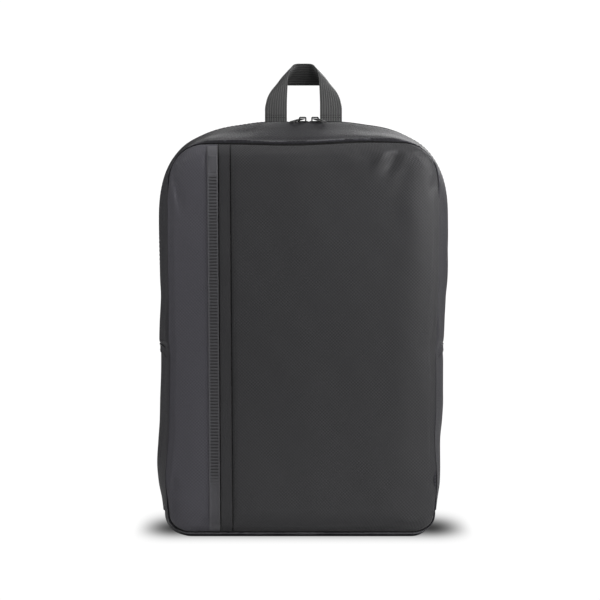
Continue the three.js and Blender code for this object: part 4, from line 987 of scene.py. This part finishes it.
def pocket_piece(node, ending, hand, low, high, rows, thickness):
    """A pocket's cloth or its hem: flat at the seams, and standing off the bag between them."""
    end = SHELL_END - 0.2
    y = np.broadcast_to(np.linspace(-end, end, 64)[:, None], (64, rows))
    z = lerp(low(y), high(y), np.linspace(0, 1, rows)[None, :])
    place = place_of_height(z, hand)
    normal = outwards(pocket_line, y, place)
    from_seam = end - np.abs(y)
    free = smooth(0, 28, from_seam)
    lift = lerp(0.45, thickness + GAP, free) + pocket_folds(hand, y, z) * smooth(0, 12, from_seam)
    outer = pocket_line(y, place) + normal * (lift - side_lip(from_seam))[..., None]
    inner = outer - normal * (thickness * lerp(0.2, 1, free))[..., None]
    outer, inner = drawn(outer), drawn(inner)
    obj = wall_mesh(node + ending, outer, inner, weave_of(outer))
    finish_piece(obj, "gusset", [node])


def side_pockets():
    for side, hand in SIDES:
        pocket_piece("side_pocket_" + side, "_cloth", hand, lambda y: 0 * y + POCKET_FOOT,
                     lambda y: hem_foot(y) - 0.2, 84, POCKET_CLOTH)
        pocket_piece("side_pocket_hem_" + side, "_binding", hand, hem_foot, hem_height, 12,
                     POCKET_HEM_THICKNESS)


side_pockets()
hem_stitches()

# The back


def back_surface(x, z):
    return HALF_DEPTH + BACK_EDGE + BACK_CROWN * rise(edge_distance(x, z) / BACK_ROLL)


def back_panel():
    """The padded back, in one piece with a rounded rim."""
    z = panel_heights(3.0)
    left, right = -edge_reach(z, -1), edge_reach(z, 1)
    share = np.linspace(0, 1, 92)
    x = left[:, None] + (right - left)[:, None] * share[None, :]
    zz = np.broadcast_to(z[:, None], x.shape)
    outer = xyz(x, back_surface(x, zz), zz)
    obj = wall_mesh("back_panel_padded", outer, xyz(x, HALF_DEPTH + 0.1, zz), weave_of(outer))
    finish_piece(obj, "mesh", ["back_panel"])


back_panel()

# The grab handle

HANDLE_WIDTH, HANDLE_THICKNESS, HANDLE_SPAN, HANDLE_TOP = 23.0, 1.8, 80.6, 490.0
HANDLE_FOLD_RADIUS, HANDLE_ROOT_DROP = 8.0, 58.0
HANDLE_GRIP_TILT = 0.35
HANDLE_STITCHES = (433.6, 436.2)


def grab_handle():
    """The webbing handle: two legs that fold over at the corners into one grip."""
    leg_left = -HANDLE_SPAN / 2
    leg_y = HALF_DEPTH + BACK_EDGE + BACK_CROWN + GAP + HANDLE_THICKNESS / 2
    foot = BAG_HEIGHT - HANDLE_ROOT_DROP
    fold_rise = HANDLE_TOP - HANDLE_WIDTH - leg_left - math.pi * HANDLE_FOLD_RADIUS / 2 * math.sqrt(2)
    along_fold = np.array([math.sqrt(0.5), 0, math.sqrt(0.5)])
    over_fold = np.array([-math.sqrt(0.5), 0, math.sqrt(0.5)])
    backwards = np.array([0, 1.0, 0])
    shares = np.array([0, 0.02, 0.06, 0.12, 0.2, 0.3, 0.4, 0.5, 0.6, 0.7, 0.8, 0.88, 0.94, 0.98, 1])
    x = leg_left + shares * HANDLE_WIDTH

    def rolled(x, z):
        """Where a point of the flat band goes when it is rolled over the slanting fold."""
        point = xyz(x, 0.0, z - fold_rise)
        along = point @ along_fold
        beyond = point @ over_fold
        angle = np.clip(beyond / HANDLE_FOLD_RADIUS, 0, math.pi)
        radial = over_fold * np.sin(angle)[..., None] - backwards * np.cos(angle)[..., None]
        past = beyond - np.clip(beyond, 0, math.pi * HANDLE_FOLD_RADIUS)
        centre = along_fold * along[..., None] + over_fold * (past * np.cos(angle))[..., None]
        centre = centre + radial * HANDLE_FOLD_RADIUS
        centre = centre + np.array([0, leg_y + HANDLE_FOLD_RADIUS, fold_rise])
        up = (centre[..., 2] - BAG_HEIGHT) / (HANDLE_TOP - BAG_HEIGHT)
        pull = monotone(HANDLE_PINCH, 1, up)
        centre[..., 0] = centre[..., 0] * (1 - pull * (centre[..., 0] / leg_left) ** 2)
        behind = smooth(math.pi * 0.5, math.pi, angle)
        centre[..., 1] = centre[..., 1] + behind * HANDLE_GRIP_TILT * (HANDLE_TOP - centre[..., 2])
        return centre, radial

    start = x + fold_rise
    roll_end = start + math.pi * HANDLE_FOLD_RADIUS * math.sqrt(2)
    leaving, _ = rolled(x, roll_end)
    finish = roll_end - leaving[:, 0]
    steps = []
    for a, b, count in ((foot + 0 * x, start, 60), (start, roll_end, 30), (roll_end, finish, 14)):
        share = np.linspace(0, 1, count)[(1 if steps else 0):]
        steps.append(a[:, None] + (b - a)[:, None] * share[None, :])
    z = np.concatenate(steps, 1)
    xs = np.broadcast_to(x[:, None], z.shape)
    centre, radial = rolled(xs, z)
    edge = rise(np.minimum(shares, 1 - shares) * 8)[:, None, None]
    half = HANDLE_THICKNESS / 2 * (0.5 + 0.5 * edge)
    mirror = np.array([-1, 1, 1])

    def side(hand):
        left = centre + radial * half * hand
        return np.concatenate([left, (left[:, :-1] * mirror)[:, ::-1]], 1)

    outer, inner = side(1), side(-1)
    weave = xyz((shares * HANDLE_WIDTH)[:, None], arc_lengths(outer[len(outer) // 2])[None, :], 0.0)
    obj = wall_mesh("grab_handle_webbing", outer, inner, weave)
    face = leg_y - HANDLE_THICKNESS / 2 - 0.05
    for name, hand in SIDES:
        xs = np.linspace(leg_left + 2.2, leg_left + HANDLE_WIDTH - 2.2, 9) * -hand
        for row, height in enumerate(HANDLE_STITCHES):
            stitch_row("handle_stitches_%s_%d" % (name, row), xyz(xs, face, height),
                       np.array([0, -1.0, 0]), length=1.7, material="dark_thread")
    finish_piece(obj, "webbing", ["grab_handle"], sharp=50)


grab_handle()

# Shoulder straps: the padded piece follows the solid's own points, rounded and filled

# Size of the rounding and the most that a point swells, in metres, then pressure and frames
STRAP_VOXEL, STRAP_SWELL, STRAP_PRESSURE, CLOTH_FRAMES = 0.0034, 0.0022, 3.5, 20


def vertex_array(mesh):
    places = np.zeros(len(mesh.vertices) * 3, np.float32)
    mesh.vertices.foreach_get("co", places)
    return places.reshape(-1, 3)


def applied(obj):
    evaluated = obj.evaluated_get(bpy.context.evaluated_depsgraph_get())
    mesh = bpy.data.meshes.new_from_object(evaluated)
    obj.modifiers.clear()
    obj.data = mesh
    return mesh


def fill_by_cloth(obj, pressure, most):
    """Lets pressure inside swell the cover, with each point kept within a distance of its start."""
    before = vertex_array(obj.data)
    cloth = obj.modifiers.new("cloth", "CLOTH")
    cloth.settings.use_pressure = True
    cloth.settings.uniform_pressure_force = pressure
    cloth.settings.effector_weights.gravity = 0
    cloth.settings.quality = 5
    cloth.point_cache.frame_start = 1
    cloth.point_cache.frame_end = CLOTH_FRAMES
    scene = bpy.context.scene
    for number in range(1, CLOTH_FRAMES + 1):
        scene.frame_set(number)
    mesh = applied(obj)
    scene.frame_set(1)
    moved = vertex_array(mesh) - before
    far = np.linalg.norm(moved, axis=1, keepdims=True)
    kept = before + moved * np.minimum(1, most / np.maximum(far, 1e-9))
    mesh.vertices.foreach_set("co", kept.astype(np.float32).ravel())
    mesh.update()


def modify(obj, kind, **settings):
    modifier = obj.modifiers.new(kind.lower(), kind)
    for key, value in settings.items():
        setattr(modifier, key, value)


def padded_strap(node):
    """The padded strap: the plain solid rounded, filled by simulation and smoothed."""
    obj = linked(node + "_padded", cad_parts[node].data.copy())
    modify(obj, "WELD", merge_threshold=0.00002)
    modify(obj, "REMESH", mode="VOXEL", voxel_size=STRAP_VOXEL)
    modify(obj, "SMOOTH", factor=0.6, iterations=8)
    applied(obj)
    fill_by_cloth(obj, STRAP_PRESSURE, STRAP_SWELL)
    modify(obj, "SUBSURF", levels=1)
    modify(obj, "SMOOTH", factor=0.5, iterations=3)
    final = applied(obj)
    places = vertex_array(final) / MM
    add_weave(final, xyz(places[:, 0], places[:, 2], 0.0))
    finish_piece(obj, "mesh", [node], sharp=60)


for side, _ in SIDES:
    padded_strap("shoulder_strap_" + side)

# The webbing below the straps, with everything along one straight line to the anchor

STRAP_END_ACROSS, STRAP_END_OUT, STRAP_END_HEIGHT = 100.0, 27.0, 152.0
BAND_WIDTH, BAND_THICKNESS, BAND_TAIL = 25.0, 1.5, 78.0
BUCKLE_THICKNESS, BUCKLE_BAR, BUCKLE_WINDOW = 3.0, 4.0, 8.5
BUCKLE_CLEARANCE, BUCKLE_BELOW_STRAP = 0.5, 15.0
ANCHOR_ACROSS, ANCHOR_HEIGHT, ANCHOR_LENGTH, ANCHOR_THICKNESS = 108.0, 16.0, 34.0, 3.0
ANCHOR_TOP_HALF, ANCHOR_FOOT_HALF = 15.0, 20.0
BAND_OUT = BUCKLE_THICKNESS / 2 + BUCKLE_CLEARANCE + BAND_THICKNESS / 2
ANCHOR_BEHIND = BAND_OUT + BAND_THICKNESS / 2 + GAP
TOP_BAR = BUCKLE_BELOW_STRAP
MIDDLE_BAR = TOP_BAR + BUCKLE_BAR + BUCKLE_WINDOW
LOOP_SEWN_IN = 9.0


def band_frame(hand):
    """Where the strap ends, the ways down to the anchor, across and out, and how far the anchor is."""
    end = np.array([hand * STRAP_END_ACROSS, HALF_DEPTH + STRAP_END_OUT, STRAP_END_HEIGHT])
    inside = np.array([ANCHOR_ACROSS - ANCHOR_FOOT_HALF])
    rest = float(back_surface(inside, np.array([ANCHOR_HEIGHT]))[0])
    rest = rest + GAP + ANCHOR_THICKNESS + ANCHOR_BEHIND
    anchor = np.array([hand * ANCHOR_ACROSS, rest, ANCHOR_HEIGHT])
    length = float(np.linalg.norm(anchor - end))
    down = (anchor - end) / length
    across = np.array([1.0, 0, 0]) - down * down[0]
    across /= np.linalg.norm(across)
    out = np.cross(down, across)
    return end, down, across, out * (1 if out[1] > 0 else -1), length


def hairpin(bar, toward, back_run, front_run):
    """The path of a band round a bar: places along the line and out from it."""
    turn_at = bar + toward * (BUCKLE_BAR / 2 - BUCKLE_CLEARANCE)
    angle = np.linspace(-math.pi / 2, math.pi / 2, 15)
    turn = np.stack([turn_at + toward * BAND_OUT * np.cos(angle), BAND_OUT * np.sin(angle)], -1)
    back = np.linspace(bar - toward * back_run, turn_at, max(int(back_run / 1.5), 3))[:-1]
    front = np.linspace(turn_at, bar - toward * front_run, max(int(front_run / 1.5), 3))[1:]
    return np.concatenate([
        np.stack([back, np.full_like(back, -BAND_OUT)], -1), turn,
        np.stack([front, np.full_like(front, BAND_OUT)], -1),
    ])


def band(node, hand, path, folded):
    """A flat woven band along its path; a folded end is twice as thick."""
    end, down, across, out, _ = band_frame(hand)
    ways = np.gradient(path, axis=0)
    ways /= np.linalg.norm(ways, axis=1, keepdims=True)
    centre = end + down * path[:, :1] + out * path[:, 1:]
    normal = out * ways[:, :1] - down * ways[:, 1:]
    length = arc_lengths(centre)
    shares = np.array([0, 0.015, 0.045, 0.1, 0.2, 0.35, 0.5, 0.65, 0.8, 0.9, 0.955, 0.985, 1])
    rim = np.minimum(shares, 1 - shares)
    half = BAND_THICKNESS / 2 * ((0.45 + 0.55 * rise(rim * 16)) * (1 - 0.14 * bell(rim, 0.085, 0.02)))
    half = half[:, None, None]
    outward = half
    if folded:
        last = smooth(length[-1] - 13, length[-1] - 12, length)
        outward = half * (1 + last[None, :, None] * 1.1)
    spine = centre[None, :, :] + across * ((shares - 0.5) * BAND_WIDTH)[:, None, None]
    weave = xyz((shares * BAND_WIDTH)[:, None], length[None, :], 0.0)
    obj = wall_mesh(node + "_band", spine + normal * outward, spine - normal * half, weave)
    finish_piece(obj, "band", [node], sharp=50)


def straight_stitches(name, hand, corners, above):
    """Rows of stitches between points given across and along the line below the strap."""
    end, down, across, out, _ = band_frame(hand)
    for number, (start, stop) in enumerate(corners):
        count = int(math.hypot(stop[0] - start[0], stop[1] - start[1]) / 2.9) + 2
        share = np.linspace(0, 1, count)[:, None]
        flat = np.array(start) * (1 - share) + np.array(stop) * share
        centres = end + across * flat[:, :1] + down * flat[:, 1:] + out * above
        stitch_row(name + "_%d" % number, centres, out, length=2.0)


def anchor_tab(node, hand):
    """The tapered tab under the webbing's end, thinner round its rim."""
    end, down, across, out, length = band_frame(hand)
    u, v = np.meshgrid(np.linspace(-1, 1, 33), np.linspace(0, ANCHOR_LENGTH, 30), indexing="ij")
    half = lerp(ANCHOR_FOOT_HALF, ANCHOR_TOP_HALF, v / ANCHOR_LENGTH)
    rim = rise((1 - np.abs(u)) * half / 2.4) * rise(np.minimum(v, ANCHOR_LENGTH - v) / 2.4)
    groove = 0.35 * bell((1 - np.abs(u)) * half, 4.2, 0.9)
    thick = ANCHOR_THICKNESS * (0.45 + 0.55 * rim) - groove
    flat = end + down * length - out * (ANCHOR_BEHIND + ANCHOR_THICKNESS)
    flat = flat + across * (u * half)[..., None] - down * v[..., None]
    obj = wall_mesh(node + "_tab", flat + out * thick[..., None], flat, xyz(u * half, v, 0.0))
    finish_piece(obj, "gusset", [node])


def strap_ends():
    for side, hand in SIDES:
        length = band_frame(hand)[4]
        run = TOP_BAR + LOOP_SEWN_IN
        band("strap_loop_" + side, hand, hairpin(TOP_BAR, 1, run, run), False)
        band("strap_webbing_" + side, hand,
             hairpin(MIDDLE_BAR, -1, length - MIDDLE_BAR, BAND_TAIL), True)
        anchor_tab("strap_anchor_" + side, hand)
        wide = BAND_WIDTH / 2 - 2.6
        low, high = length - 4.0, length - 27.0
        box = [((-wide, low), (wide, low)), ((-wide, high), (wide, high)), ((-wide, low), (-wide, high)),
               ((wide, low), (wide, high)), ((-wide, low), (wide, high)), ((wide, low), (-wide, high))]
        straight_stitches("anchor_stitches_" + side, hand, box, -BAND_OUT + BAND_THICKNESS / 2)
        top = 4.4
        straight_stitches("loop_stitches_" + side, hand, [((-wide, top), (wide, top))],
                          BAND_OUT + BAND_THICKNESS / 2)
        tail = MIDDLE_BAR + BAND_TAIL - 9.0
        straight_stitches("tail_stitches_" + side, hand, [((-wide, tail), (wide, tail))],
                          BAND_OUT + BAND_THICKNESS / 2 * 2.1)


strap_ends()

# Pieces that keep their own solids get their materials and softened edges


def keep_node(node, material, bevel):
    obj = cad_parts[node]
    obj.data.materials.clear()
    obj.data.materials.append(MATERIALS[material])
    modify(obj, "BEVEL", width=bevel * MM, segments=2, limit_method="ANGLE",
           angle_limit=math.radians(40))


for side, _ in SIDES:
    keep_node("strap_buckle_" + side, "plastic", 0.6)
    keep_node("zip_slider_" + side, "metal", 0.25)
    keep_node("pull_tab_" + side, "metal", 0.2)

# Floor, light and camera

# Even light of the room, in all directions
WORLD_LIGHT = 0.13
# Softboxes: degrees to the right of the front, degrees up, distance, width and height in m, watts
SOFTBOXES = [
    (30, 4, 1.5, 0.55, 0.8, 3.2),
    (60, 4, 1.5, 0.55, 0.8, 2.0),
    (-50, 62, 1.1, 0.55, 0.8, 1.6),
    (0, 88, 1.2, 0.8, 0.6, 1.1),
    (50, 42, 0.6, 0.3, 0.3, 1.2),
    (62, 24, 0.6, 0.3, 0.3, 1.3),
    (-55, 30, 0.6, 0.3, 0.3, 0.5),
    (0, -42, 0.3, 0.32, 0.03, 0.035),
    (168, 25, 1.8, 1.2, 1.0, 12),
]
# Shade on the floor: where it ends across, its middle, how far it reaches behind and in front, depth
SHADE_SIDE, SHADE_MIDDLE, SHADE_BEHIND, SHADE_FRONT, SHADE_DEPTH = (0.133, 0.182), 0.2, 0.31, 0.25, 0.745
WHITE = (1, 1, 1, 1)
# How bright the ground is seen behind the floor, and the height that the softboxes point at
SEEN_WHITE, LIGHT_TARGET = 1.05, 0.22
FLOOR_HALF = 12.0


def floor_material():
    """White paper, shaded softly where the bag stands."""
    paint = Paint(bpy.data.materials.new("floor paper"))
    x, y, _ = paint.add("SeparateXYZ", {0: paint.add("TexCoord").outputs["Object"]}).outputs
    limits = {"Value": paint.maths("ABSOLUTE", x), "From Min": SHADE_SIDE[0], "From Max": SHADE_SIDE[1],
              "To Min": 1.0, "To Max": 0.0}
    side = paint.add("MapRange", limits, interpolation_type="SMOOTHSTEP")
    away = paint.maths("SUBTRACT", y, SHADE_MIDDLE)
    behind = paint.maths("MAXIMUM", paint.maths("DIVIDE", away, SHADE_BEHIND), 0.0)
    front = paint.maths("MAXIMUM", paint.maths("DIVIDE", away, -SHADE_FRONT), 0.0)
    total = paint.maths("MULTIPLY_ADD", front, front, paint.maths("MULTIPLY", behind, behind))
    along = paint.maths("EXPONENT", paint.maths("MULTIPLY", total, -1.0))
    shade = paint.maths("MULTIPLY", along, side.outputs["Result"])
    left = paint.maths("POWER", paint.maths("MULTIPLY_ADD", shade, -SHADE_DEPTH, 1.0), 2.2)
    colour = paint.mix(paint.maths("SUBTRACT", 1.0, left), grey(1.03), grey(0.0))
    material = paint.surface({"Base Color": grey(0.86), "Roughness": 0.9})
    bright = paint.add("Emission", {"Color": colour})
    paint.seen_apart(paint.tree.nodes["Principled BSDF"], bright, "Material Output")
    return material


def floor_and_light():
    """The floor, the even light of the world and the softboxes."""
    mesh = bpy.data.meshes.new("floor")
    far = FLOOR_HALF
    corners = [(-far, -far, 0), (far, -far, 0), (far, far, 0), (-far, far, 0)]
    mesh.from_pydata(corners, [], [[0, 1, 2, 3]])
    floor = linked("floor", mesh)
    mesh.materials.append(floor_material())

    world = bpy.data.worlds.new("studio")
    bpy.context.scene.world = world
    paint = Paint(world)
    lit = paint.fill(paint.tree.nodes["Background"], {"Color": WHITE, "Strength": WORLD_LIGHT})
    paint.seen_apart(lit, paint.add("Background", {"Color": WHITE, "Strength": SEEN_WHITE}), "World Output")

    for number, (across, up, distance, width, height, power) in enumerate(SOFTBOXES):
        light = bpy.data.lights.new("softbox_%d" % number, "AREA")
        light.shape = "RECTANGLE"
        light.size, light.size_y = width, height
        light.energy = power
        obj = linked(light.name, light)
        turn, lift = math.radians(across), math.radians(up)
        way = Vector((math.sin(turn) * math.cos(lift), -math.cos(turn) * math.cos(lift), math.sin(lift)))
        obj.location = Vector((0, 0, LIGHT_TARGET)) + way * distance
        obj.rotation_euler = (-way).to_track_quat("-Z", "Y").to_euler()


floor_and_light()

# The camera: metres away, degrees up, width of the view in metres and of the sensor in mm
VIEW_DISTANCE, VIEW_RISE, VIEW_WIDTH, SENSOR = 14.0, 1.0, 0.6245, 36
VIEW_CENTRE = Vector((-0.0036, 0.0, 0.244))


def camera():
    """A long lens in front of the bag, almost level."""
    data = bpy.data.cameras.new("camera")
    data.sensor_width = SENSOR
    data.lens = SENSOR * VIEW_DISTANCE / VIEW_WIDTH
    data.clip_end = 60
    obj = linked("camera", data)
    rise_angle = math.radians(VIEW_RISE)
    back = Vector((0, -math.cos(rise_angle), math.sin(rise_angle))) * VIEW_DISTANCE
    obj.location = VIEW_CENTRE + back
    obj.rotation_euler = (-back).to_track_quat("-Z", "Y").to_euler()
    bpy.context.scene.camera = obj


camera()
bpy.context.scene.view_settings.view_transform = "Standard"
bpy.context.scene.view_settings.look = "None"

bpy.context.view_layer.update()
